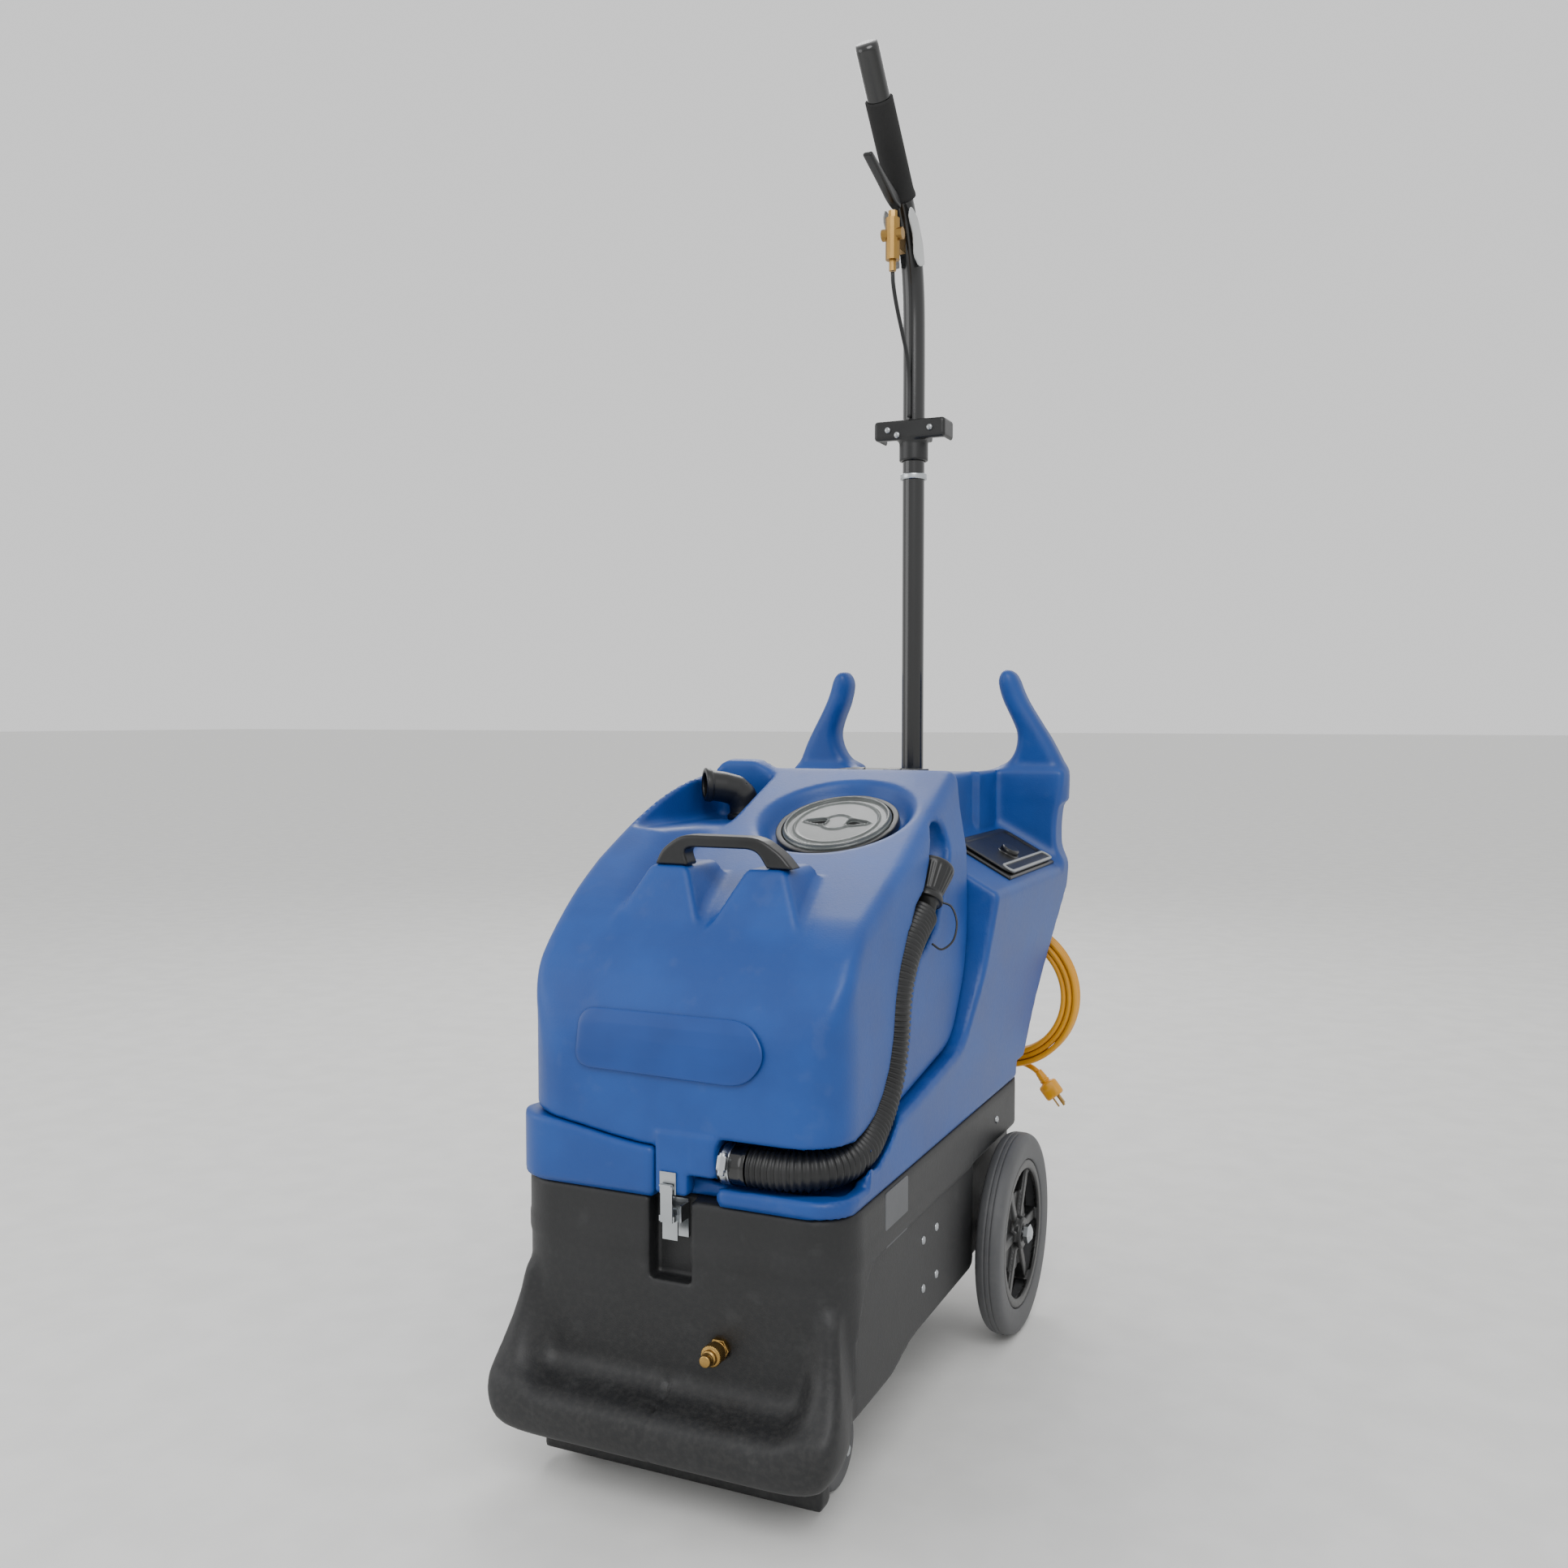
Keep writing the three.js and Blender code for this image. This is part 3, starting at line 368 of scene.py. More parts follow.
def block(x: Array, y: Array, z: Array, spans: Sequence[float], radius: float = 0.0) -> Array:
    """A box from x0, x1, y0, y1, z0, z1, with every edge rounded."""
    x0, x1, y0, y1, z0, z1 = spans
    return meet(meet(slab(x, x0, x1), slab(y, y0, y1), radius), slab(z, z0, z1), radius)


def outline(u: Array, v: Array, points: Array) -> Array:
    """Signed distance to a closed outline: the nearest side, negative where the winding count is odd."""
    nearest = None
    inside = None
    for (u0, v0), (u1, v1) in zip(points, np.roll(points, -1, 0)):
        du, dv = u1 - u0, v1 - v0
        length = du * du + dv * dv
        if length < EPS:
            continue
        t = np.clip(((u - u0) * du + (v - v0) * dv) / length, 0, 1)
        gap = (u - u0 - t * du) ** 2 + (v - v0 - t * dv) ** 2
        nearest = gap if nearest is None else np.minimum(nearest, gap)
        crosses = (v0 > v) != (v1 > v)
        at = u0 + (v - v0) * du / (dv if abs(dv) > EPS else EPS)
        hit = crosses & (u < at)
        inside = hit if inside is None else inside ^ hit
    return np.where(inside, -1.0, 1.0) * np.sqrt(nearest)


def chain(x: Array, y: Array, z: Array, line: Array, radius: float) -> Array:
    """A round channel along a broken line."""
    best = None
    for a, b in zip(line[:-1], line[1:]):
        d = b - a
        t = np.clip(((x - a[0]) * d[0] + (y - a[1]) * d[1] + (z - a[2]) * d[2]) / np.dot(d, d), 0, 1)
        gap = (x - a[0] - t * d[0]) ** 2 + (y - a[1] - t * d[1]) ** 2 + (z - a[2] - t * d[2]) ** 2
        best = gap if best is None else np.minimum(best, gap)
    return np.sqrt(best) - radius


def net(shape: Field, low: Sequence[float], high: Sequence[float], step: float) -> tuple[Array, Array]:
    """The skin of a field as quads: one point in each cell that the skin crosses.

    A cell's point starts at the mean of the crossings on its edges and then slides down the field's
    slope onto the skin. A quad joins the four cells round each grid edge that the skin crosses.

    Args:
        shape: the field.
        low: lowest corner of the grid.
        high: highest corner.
        step: cell size.

    Returns:
        Points (n, 3) and quads (m, 4) that face outwards.
    """
    axes = [np.arange(a - 1.5 * step, b + 1.6 * step, step) for a, b in zip(low, high)]
    full = tuple(len(a) for a in axes)
    x, y, z = axes[0][:, None, None], axes[1][None, :, None], axes[2][None, None, :]
    value = np.broadcast_to(shape(x, y, z), full).astype(np.float32)
    inside = value < 0
    cells = tuple(n - 1 for n in full)
    total = np.zeros(cells + (3,), np.float32)
    count = np.zeros(cells, np.float32)
    corner = np.stack(np.meshgrid(*[np.arange(n) for n in cells], indexing="ij"), -1).astype(np.float32)
    for axis in range(3):
        others = [k for k in range(3) if k != axis]
        for s in (0, 1):
            for t in (0, 1):
                offset = np.zeros(3, int)
                offset[others[0]], offset[others[1]] = s, t
                first = tuple(slice(offset[k], offset[k] + cells[k]) for k in range(3))
                offset[axis] = 1
                last = tuple(slice(offset[k], offset[k] + cells[k]) for k in range(3))
                a, b = value[first], value[last]
                crossed = (a < 0) != (b < 0)
                share = np.where(crossed, a / np.where(a == b, 1, a - b), 0)
                total[..., axis] += share
                total[..., others[0]] += crossed * s
                total[..., others[1]] += crossed * t
                count += crossed
    used = count > 0
    number = np.full(cells, -1, np.int64)
    number[used] = np.arange(int(used.sum()))
    local = corner[used] + total[used] / count[used][:, None]
    points = np.stack([axes[k][0] + local[:, k] * step for k in range(3)], -1).astype(float)
    quads = []
    for axis in range(3):
        a, b = (axis + 1) % 3, (axis + 2) % 3
        first = tuple(slice(0, -1) if k == axis else slice(1, -1) for k in range(3))
        last = tuple(slice(1, None) if k == axis else slice(1, -1) for k in range(3))
        one, two = inside[first], inside[last]
        at = np.argwhere(one != two)
        cell = at + np.array([0 if k == axis else 1 for k in range(3)])
        ring = []
        for da, db in ((0, 0), (-1, 0), (-1, -1), (0, -1)):
            shifted = cell.copy()
            shifted[:, a] += da
            shifted[:, b] += db
            ring.append(number[tuple(shifted.T)])
        quad = np.stack(ring, -1)
        flip = ~one[tuple(at.T)]
        quad[flip] = quad[flip][:, ::-1]
        quads.append(quad)
    faces = np.concatenate(quads)
    reach = 0.4
    for _ in range(3):
        here = shape(*points.T)
        slope = np.stack([shape(*(points + reach * e).T) - shape(*(points - reach * e).T)
                          for e in np.eye(3)], -1)
        slope /= 2 * reach
        size = np.maximum((slope ** 2).sum(1), 0.05)
        move = (here / size)[:, None] * slope
        points -= np.clip(move, -0.4 * step, 0.4 * step)
    return points, faces


def moulded(name: str, shape: Field, low: Sequence[float], high: Sequence[float], step: float,
            pose: Pose | None = None) -> bpy.types.Object:
    """A piece from a field, in a pose's own axes if one is given.

    Args:
        name: the piece's name.
        shape: the field.
        low: lowest corner that the shape reaches.
        high: highest corner.
        pose: the axes that the field is written in.

    Returns:
        The closed piece.
    """
    points, faces = net(shape, low, high, step * (1.0))
    return mesh_object(name, pose.out(points) if pose else points, faces)


# ---------------------------------------------------------------- materials
class Grain(Enum):
    """What a surface's finest relief is."""

    PEBBLE = "pebble"
    SATIN = "satin"
    BRUSHED = "brushed"
    SPANGLE = "spangle"
    FOAM = "foam"


@dataclass(frozen=True)
class Finish:
    """One procedural finish.

    Colours are sRGB hex numbers; sizes are in millimetres.
    """

    name: str
    colour: int
    other: int
    rough: float
    grain: Grain
    size: float = 3.0
    depth: float = 0.1
    uneven: float = 0.12
    metallic: float = 0.0
    coat: float = 0.0
    dust: float = 0.0
    wear: float = 0.0
    clear: float = 0.0


FINISHES = {
    "blue": Finish("blue_rotomoulded", 0x053D86, 0x094592, 0.44, Grain.PEBBLE, 2.2, 0.16, 0.10, dust=0.12,
                   wear=0.25),
    "black": Finish("black_rotomoulded", 0x111214, 0x17181A, 0.5, Grain.PEBBLE, 2.2, 0.18, 0.1, dust=0.22,
                    wear=0.25),
    "moulded": Finish("black_moulded", 0x0F1011, 0x191A1B, 0.34, Grain.SATIN, 0.8, 0.02, dust=0.2),
    "ribbed": Finish("hose_plastic", 0x121314, 0x1C1D1E, 0.42, Grain.SATIN, 0.7, 0.02, dust=0.3),
    "gloss": Finish("wand_enamel", 0x08090A, 0x0D0E0F, 0.16, Grain.SATIN, 6.0, 0.01, 0.06, coat=0.5),
    "tyre": Finish("grey_tyre", 0x48494B, 0x515254, 0.55, Grain.SATIN, 0.9, 0.04, dust=0.3, wear=0.4),
    "zinc": Finish("zinc_plate", 0xBFC3C6, 0xA9ADB0, 0.3, Grain.SPANGLE, 5.0, 0.01, 0.2, 1.0),
    "steel": Finish("brushed_steel", 0xB4B7BA, 0xA2A5A8, 0.28, Grain.BRUSHED, 0.5, 0.01, 0.15, 1.0),
    "brass": Finish("cast_brass", 0xB59358, 0x9E7C44, 0.34, Grain.SATIN, 1.2, 0.03, 0.2, 1.0),
    "clear": Finish("smoked_lid", 0x848988, 0x7A807E, 0.2, Grain.SATIN, 4.0, 0.02, clear=0.6),
    "yellow": Finish("yellow_jacket", 0xDB9A10, 0xCD8C0A, 0.42, Grain.SATIN, 1.6, 0.04, dust=0.3, wear=0.3),
    "foam": Finish("grip_foam", 0x141414, 0x1E1E1E, 0.85, Grain.FOAM, 1.1, 0.25),
    "label": Finish("label_film", 0x4C4E51, 0x55575A, 0.5, Grain.SATIN, 5.0, 0.01),
    "grey": Finish("grey_plastic", 0x8E9192, 0x9A9D9E, 0.42, Grain.SATIN, 1.0, 0.02),
    "white": Finish("white_plastic", 0xC4C6C6, 0xBABCBC, 0.4, Grain.SATIN, 1.0, 0.02),
    "badge": Finish("blue_badge", 0x04387E, 0x073F8A, 0.36, Grain.SATIN, 1.4, 0.02),
    "floor": Finish("pale_floor", 0xE4E4E2, 0xDEDEDC, 0.6, Grain.SATIN, 40.0, 0.02, 0.05),
}


def linear(code: int) -> tuple[float, float, float, float]:
    """An sRGB hex number as linear colour: ((c + 0.055) / 1.055) ^ 2.4 above 0.04045."""
    parts = [((code >> shift) & 255) / 255 for shift in (16, 8, 0)]
    return (*[c / 12.92 if c <= 0.04045 else ((c + 0.055) / 1.055) ** 2.4 for c in parts], 1.0)


@dataclass(frozen=True)
class Value:
    """A node's output; arithmetic on it adds maths nodes."""

    book: "Nodes"
    socket: bpy.types.NodeSocket

    def maths(self, kind: str, other: "Value | float" = 0.0) -> "Value":
        """A maths node of this value and another."""
        return self.book.node("ShaderNodeMath", {0: self, 1: other}, operation=kind)

    def __add__(self, other: "Value | float") -> "Value":
        return self.maths("ADD", other)

    def __sub__(self, other: "Value | float") -> "Value":
        return self.maths("SUBTRACT", other)

    def __mul__(self, other: "Value | float") -> "Value":
        return self.maths("MULTIPLY", other)

    def __pow__(self, other: "Value | float") -> "Value":
        return self.maths("POWER", other)

    def between(self, low: float, high: float, start: float = 0.0, end: float = 1.0) -> "Value":
        """start where this is low, end where it is high, eased and clamped."""
        ends = {"Value": self, "From Min": low, "From Max": high, "To Min": start, "To Max": end}
        return self.book.node("ShaderNodeMapRange", ends, interpolation_type="SMOOTHSTEP")


class Nodes:
    """One material's node tree, written as arithmetic."""

    def __init__(self, name: str) -> None:
        self.material = bpy.data.materials.new(name)
        self.material.use_nodes = True
        self.tree = self.material.node_tree
        self.tree.nodes.clear()
        self.place = self.node("ShaderNodeTexCoord", out="Object")

    def node(self, kind: str, inputs: dict | None = None, out: int | str = 0, **settings) -> Value:
        """A node with its settings and inputs; a Value is linked and anything else is set.

        Args:
            kind: the node's type.
            inputs: what goes into each socket, by name or number.
            out: the output that is handed back.
            settings: the node's own properties.

        Returns:
            The output.
        """
        made = self.tree.nodes.new(kind)
        for key, value in settings.items():
            setattr(made, key, value)
        for key, value in (inputs or {}).items():
            if isinstance(value, Value):
                self.tree.links.new(value.socket, made.inputs[key])
            else:
                made.inputs[key].default_value = value
        return Value(self, made.outputs[out])

    def noise(self, size: float, detail: float = 3.0, stretch: tuple[float, float, float] = (1, 1,
                                                                                             1)) -> Value:
        """Fractal noise whose largest lumps are about a size in millimetres."""
        where = self.node("ShaderNodeMapping", {"Vector": self.place, "Scale": stretch})
        return self.node("ShaderNodeTexNoise", {"Vector": where, "Scale": 1000.0 / size, "Detail": detail})

    def cells(self, size: float, feature: str = "SMOOTH_F1") -> Value:
        """Distance to scattered points about a size in millimetres apart."""
        return self.node("ShaderNodeTexVoronoi", {"Vector": self.place, "Scale": 1000.0 / size},
                         feature=feature)

    def height(self) -> Value:
        """Metres above the floor."""
        return self.node("ShaderNodeSeparateXYZ", {0: self.place}, out="Z")

    def mix(self, share: Value | float, first: Value | tuple, second: Value | tuple) -> Value:
        """One colour turning into another."""
        return self.node("ShaderNodeMix", {0: share, 6: first, 7: second}, out=2, data_type="RGBA")


def relief(book: Nodes, finish: Finish) -> Value:
    """The finest relief's height, 0 to 1."""
    if finish.grain is Grain.PEBBLE:
        return book.cells(finish.size) * 0.6 + book.noise(finish.size * 2.2, 4.0) * 0.6
    if finish.grain is Grain.BRUSHED:
        return book.noise(finish.size * 8, 2.0, (1.0, 1.0, 14.0))
    if finish.grain is Grain.SPANGLE:
        return book.cells(finish.size, "F1") * 0.5 + book.noise(finish.size * 0.3, 2.0) * 0.5
    if finish.grain is Grain.FOAM:
        return book.cells(finish.size, "F1")
    return book.noise(finish.size, 3.0)


def make_stuff(finish: Finish) -> bpy.types.Material:
    """A finish's material.

    The colour drifts between two shades over tens of millimetres, fine dust lies on it towards the floor,
    scuffs dull it in small patches, and the grain lifts the surface by its depth.

    Args:
        finish: the finish.

    Returns:
        The material.
    """
    book = Nodes(finish.name)
    drift = book.noise(90.0, 3.0)
    speckle = book.noise(7.0, 4.0)
    scuff = book.noise(34.0, 6.0).between(0.58, 0.72) * finish.wear
    colour = book.mix(drift.between(0.3, 0.7), linear(finish.colour), linear(finish.other))
    low = book.height().between(0.0, 0.42, 1.0, 0.12)
    dust = low * speckle.between(0.35, 0.75) * (0.22 * finish.dust)
    colour = book.mix(dust, colour, linear(0x8D8A84))
    colour = book.mix(scuff * 0.08, colour, linear(0xA5A6A6))
    rough = (drift - 0.5) * finish.uneven + (speckle - 0.5) * (finish.uneven * 0.6) + scuff * 0.12 + dust * 0.8
    rough = rough + finish.rough
    bump = book.node("ShaderNodeBump", {"Strength": 1.0, "Distance": finish.depth / 1000,
                                        "Height": relief(book, finish)})
    shader = book.node("ShaderNodeBsdfPrincipled", {
        "Base Color": colour, "Roughness": rough, "Metallic": finish.metallic, "Coat Weight": finish.coat,
        "Coat Roughness": 0.25, "Transmission Weight": finish.clear, "Normal": bump}, out="BSDF")
    end = book.tree.nodes.new("ShaderNodeOutputMaterial")
    book.tree.links.new(shader.socket, end.inputs["Surface"])
    return book.material


# ---------------------------------------------------------------- driving dimensions
HALF_WIDTH, PANEL_HALF, WELL_HALF = 229.0, 222.0, 205.0
BAND_Z, SEAM_Z = 295.0, 370.5
TUB_REAR, WELL_FRONT = 788.0, 534.0
REAR_Y, SHOULDER_Z = 1005.0, 862.0
LATCH_BOX = (-30.0, 27.0, -30.0, 25.0, 268.0, 470.0)
HOSE_R = 24.5
HOSE_Z = 416.9
HOSE_ROUTE = [(58, 22, 0), (101, 22, 0), (145, 24, 0), (178, 38, 1), (198, 68, 4), (205, 105, 11),
              (205, 140, 25), (205, 172, 48), (205, 200, 80), (205, 218, 123), (205, 226, 168),
              (205, 240, 203), (205, 268, 235), (205, 305, 258), (205, 343, 276)]
HOSE_LINE = np.array([(x, y, z + HOSE_Z) for x, y, z in HOSE_ROUTE], float)
CUFF_END = HOSE_LINE[-1]
CAP_END = np.array((205.0, 386.0, HOSE_Z + 333))
LID = Pose((59, 390, 803), ((1, 0, 0), (0, math.cos(math.radians(23.5)), math.sin(math.radians(23.5))),
                            (0, -math.sin(math.radians(23.5)), math.cos(math.radians(23.5)))))
LEDGE_SLOPE = 0.55
_lean = math.atan(LEDGE_SLOPE)
FILL = Pose((194, 783, 765 - LEDGE_SLOPE * 64), ((math.cos(_lean), 0, -math.sin(_lean)), (0, 1, 0),
                                                (math.sin(_lean), 0, math.cos(_lean))))
POCKET = (-190.0, -95.0, 238.0, 512.0, 798.0, 960.0)
CRADLE = [(528, 680, 8), (508, 580, 30), (443, 486, 40), (223, 452, 30), (60, 440), (-5, 440)]
WAND_Y = 885.0
ELBOW = (-125.0, 468.0, 798.0)
WHEEL_X = 251.0
CASTER_X, CASTER_Y, CASTER_R = 168.0, 102.0, 51.0
COUPLER = (68.0, 3.2, 198.0)
GLAND = (150.0, TUB_REAR, 330.0)


def facet(y: Array) -> Array:
    """Height of the recovery tank's sloping top."""
    return 818 + 0.41 * (y - 390)


def seam_rise(x: Array, y: Array) -> Array:
    """How far the joint between the tanks stands above its level, 12 at the left corner to -9 by the tongue."""
    across = 12 - 21 * smoothstep(-205, -18, x) + 9 * smoothstep(40, 66, x)
    return across * (1 - smoothstep(20, 170, y))


def plan(x: Array, y: Array, half: float, front: float, rear: float, radius: float) -> Array:
    """A rectangle seen from above, with rounded corners."""
    return meet(np.abs(x) - half, slab(y, front, rear), radius)


# ---------------------------------------------------------------- the three moulded shells
def hose_channel(x: Array, y: Array, z: Array) -> Array:
    """The groove for the drain hose, with its pointed end above the cap."""
    groove = chain(x, y, z, HOSE_LINE, HOSE_R + 4.5)
    end = chain(x, y, z, np.array([HOSE_LINE[-2], CUFF_END, CAP_END, (205, 404, HOSE_Z + 356)]), 36.0)
    return join(groove, end, 8)


def tub_field(x: Array, y: Array, z: Array) -> Array:
    """The tub: panels under a prouder band, the swept lip with its ears, the wheel wells and the cavities."""
    ax = np.abs(x)
    side = rounded([(0, 115), (85, 115, 6), (180, 115, 20), (256, 134, 30), (WELL_FRONT, 134, 20),
                    (WELL_FRONT, 300), (0, 300)])
    panels = meet(outline(y, z, side), plan(x, y, PANEL_HALF, 0, 900, 60), 6)
    lip = rounded([(40, 268), (3, 262, 20), (-12, 200, 70), (-38, 150, 30), (-62, 132, 24), (-72, 98, 26),
                   (-60, 68, 26), (-32, 60, 14), (40, 58)])
    ears = rounded([(-10, -74), (196, -74, 40), (236, -58, 34), (243, -20, 30), (224, 26, 30), (222, 70),
                    (-10, 70)])
    scoop = rounded([(-120, 300), (4, 300), (5, 236, 60), (7, 160, 44), (-18, 130, 34), (-120, 130)])
    face = rounded([(-10, 320), (216, 320), (217, 244, 60), (230, 180, 70), (244, 132, 40), (243, 98, 60),
                    (196, 57, 60), (-10, 57)])
    bar = meet(meet(outline(y, z, lip), outline(ax, y, ears), 14), outline(ax, z, face), 18)
    shape = join(panels, bar, 14)
    shape = carve(shape, meet(outline(y, z, scoop), ax - 184 - 0.12 * (z - 130), 34), 22)
    frame_line = rounded([(44, 100), (44, 140), (46, 205, 20), (58, 252, 16), (82, 284, 14), (112, 297, 10),
                          (700, 297), (700, 100)])
    proud = meet(meet(-outline(y, z, frame_line), plan(x, y, HALF_WIDTH - 1, 0, 900, 60)),
                 slab(z, 150, 320), 2)
    shape = join(shape, meet(proud, slab(y, -20, 500), 3), 3)
    band = meet(plan(x, y, HALF_WIDTH, 0, TUB_REAR, 60), slab(z, BAND_Z, SEAM_Z), 7)
    riser = meet(plan(x, y, HALF_WIDTH, 0, TUB_REAR, 60), block(x, y, z, (-300, 300, 747, 900, 340, 395)), 5)
    rear = block(x, y, z, (-WELL_HALF, WELL_HALF, 500, TUB_REAR, 125, 320), 12)
    shape = join(join(shape, rear, 10), join(band, riser, 2), 5)
    inside = join(meet(plan(x, y, 210, 30, 600, 58), block(x, y, z, (-300, 300, 0, 520, 144, 356), 14)),
                  block(x, y, z, (-194, 194, 500, 776, 144, 356), 14))
    shape = carve(shape, inside)
    shape = carve(shape, block(x, y, z, (-WELL_HALF, WELL_HALF, 50, 178, 40, 128), 4), 3)
    skirt = carve(block(x, y, z, (-193, 193, 15, 45, 15, 135), 4),
                  block(x, y, z, (-183, 183, 25, 60, 0, 116), 3))
    shape = join(shape, skirt, 3)
    boss = block(x, y, z, (-42, 39, 6, 36, 258, 368), 6)
    shape = join(shape, boss, 3)
    shape = carve(shape, block(x, y, z, LATCH_BOX, 4), 3)
    shape = carve(shape, np.hypot(y - WHEEL_Y, z - WHEEL_R) - 9.0)
    return carve(shape, meet(np.hypot(x - COUPLER[0], z - COUPLER[2]) - 9.6, slab(y, -40, 22)))


def solution_field(x: Array, y: Array, z: Array) -> Array:
    """The solution tank: flared sides, cradle, ledges, wand recess, horns and the hose's shelf."""
    ax = np.abs(x)
    zz = z - seam_rise(x, y) * smoothstep(384, 430, z)
    side = rounded([(-5, SEAM_Z + 0.4, 3), (746.6, SEAM_Z + 0.4), (746.6, 395.4, 4), (TUB_REAR, 395.4, 6),
                    (REAR_Y, 690, 60), (REAR_Y, SHOULDER_Z, 14), (546, SHOULDER_Z, 20), *CRADLE[:-1],
                    (-5, 440, 5)])
    flare = rounded([(229, 340), (229, 371, 4), (233, 490, 60), (258, 690, 12), (258, 704, 8), (242, 728, 14),
                     (241, 775, 30), (255, 845, 20), (252, 900), (-10, 900), (-10, 340)])
    around = meet(ax - 268, slab(y, -5, REAR_Y), 62)
    corner = meet(meet(ax - 233, slab(y, -5, 1200), 60), around)
    corner = np.where(y < 120, corner, around)
    shape = meet(meet(outline(y, zz, side), outline(ax, z, flare), 7), corner, 5)
    shelf = (z - (765 - LEDGE_SLOPE * (ax - 130))) / math.hypot(1, LEDGE_SLOPE)
    shape = carve(shape, meet(meet(-shelf, 128 - ax, 14), slab(y, 300, 940), 22), 7)
    shape = carve(shape, block(x, y, z, (-135, 135, 850, 1100, 600, 990), 10), 8)
    shape = join(shape, block(ax, y, z, (119, 137, 830, 956, 700, SHOULDER_Z), 5), 5)
    horn = rounded([(130, 800), (253, 800), (252, 864, 20), (243, 884, 20), (228, 915, 20), (205, 952, 20),
                    (183, 990, 20), (170, 1030, 16), (150, 1040, 12), (137, 1020, 12), (144, 985, 20),
                    (161, 950, 20), (170, 925, 10), (167, 900, 14), (155, 878, 14), (130, 862)])
    back = y + 0.16 * (np.maximum(z, SHOULDER_Z) - SHOULDER_Z)
    horn_body = meet(outline(ax, z, horn), slab(back, 950, REAR_Y - 1), 19)
    horn_body = meet(horn_body, 812 - z)
    shape = join(shape, horn_body, 16)
    inner = meet(outline(y, z, rounded([(34, 381), (732, 381), (738, 406), (774, 406), (902, 576), (540, 576),
                                        (517, 570), (452, 470), (223, 436), (60, 420), (34, 420)])),
                                        ax - 210, 10)
    upper = block(x, y, z, (-118, 118, 558, 838, 580, 846), 10)
    shape = carve(shape, join(inner, upper))
    shape = carve(shape, block(x, y, z, (-22.5, 64.5, -30, 24.5, 300, 470), 3), 2)
    shape = carve(shape, block(x, y, z, (21, 104, -30, 57, 392, 470), 3), 2)
    shape = carve(shape, block(x, y, z, (62, 300, -30, 75, 392, 470), 3), 3)
    shape = carve(shape, hose_channel(x, y, z), 4)
    u, v, w = FILL.into(x, y, z)
    mouth = meet(block(u, v, w, (-44, 36, -128, 40, -70, 40), 8), slab(x, 150, 236))
    return carve(shape, mouth, 3)


def recovery_field(x: Array, y: Array, z: Array) -> Array:
    """The recovery tank: sloping top, raised left shoulder, dished lid seat, pocket and handle bosses."""
    zz = z - seam_rise(x, y) * (1 - smoothstep(455, 520, z))
    under = [(y0 - 4, z0 + 1, *rest) for y0, z0, *rest in CRADLE[:4]]
    ridge = rounded([(-2, 441, 8), (-4, 512, 40), (6, 578, 40), (42, 652, 50), (110, 720, 40), (172, 762, 40),
                     (250, 808, 30), (318, 840, 40), (400, 866, 40), (495, 883, 20), (543, 890, 8),
                     (541, 864, 6), *under, (60, 441)])
    top = facet(y) + 62 * smoothstep(96, 178, -x)
    crest = (z - top) * 0.9
    half = np.interp(z.ravel(), [430, 640, 760, 820, 895], [222, 222, 216, 204, 194]).reshape(z.shape)
    soft = 74 - 44 * smoothstep(560, 800, z)
    shape = meet(outline(y, zz, ridge), crest, 16)
    side_gap = np.abs(x) - half
    front = meet(side_gap, -2 - y, soft)
    shape = meet(meet(shape, side_gap, 22), front, 10)
    shape = meet(shape, y - 542.5, 10)
    for centre in (-68.0, 71.0):
        wide = 27 + 0.5 * np.maximum(763.0 - z, 0)
        boss = meet(np.abs(x - centre) - wide, meet(slab(z, 640, 763), 98 + (z - 718) * 0.53 - y, 5), 9)
        boss = meet(boss, y - 210)
        shape = join(shape, boss, 9)
    shape = carve(shape, block(x, y, z, POCKET, 12), 7)
    u, v, w = LID.into(x, y, z)
    ring = np.hypot(u, v)
    dish = meet(ring - np.interp(w, [-12, -4, 20, 70], [97, 103, 118, 124]), -12 - w, 6)
    shape = carve(shape, meet(dish, w - 90), 7)
    hollow = outline(y, z, np.array([(18, 470), (66, 470), (223, 478), (428, 508), (486, 596), (510, 692),
                                     (522, 844), (400, 808), (112, 682), (72, 640), (34, 570), (20, 512)],
                                     float))
    hollow = meet(hollow, meet(slab(x, -198, 156), 12 - y, 66))
    hollow = carve(hollow, block(x, y, z, (-199, -86, 229, 600, 788, 1000)))
    hollow = carve(hollow, meet(ring - 132, slab(w, -21, 90)))
    hollow = carve(hollow, chain(x, y, z, HOSE_LINE, HOSE_R + 14))
    shape = carve(shape, hollow)
    shape = carve(shape, meet(ring - 63, slab(w, -46, 10)))
    shape = carve(shape, meet(np.hypot(x - ELBOW[0], y - ELBOW[1]) - 17, slab(z, 770, 810)))
    shape = carve(shape, block(x, y, z, (64, 300, -60, 62, 400, 450), 6), 4)
    shape = carve(shape, hose_channel(x, y, z), 6)
    tongue = join(block(x, y, z, (-20, 24, -3, 20, 376, 470), 5),
                  block(x, y, z, (22, 62, -3, 50, 402, 470), 6), 4)
    port = meet(np.hypot(y - 22, z - HOSE_Z) - 20, slab(x, 55, 92))
    return join(join(shape, meet(tongue, z - 452), 5), port, 2)


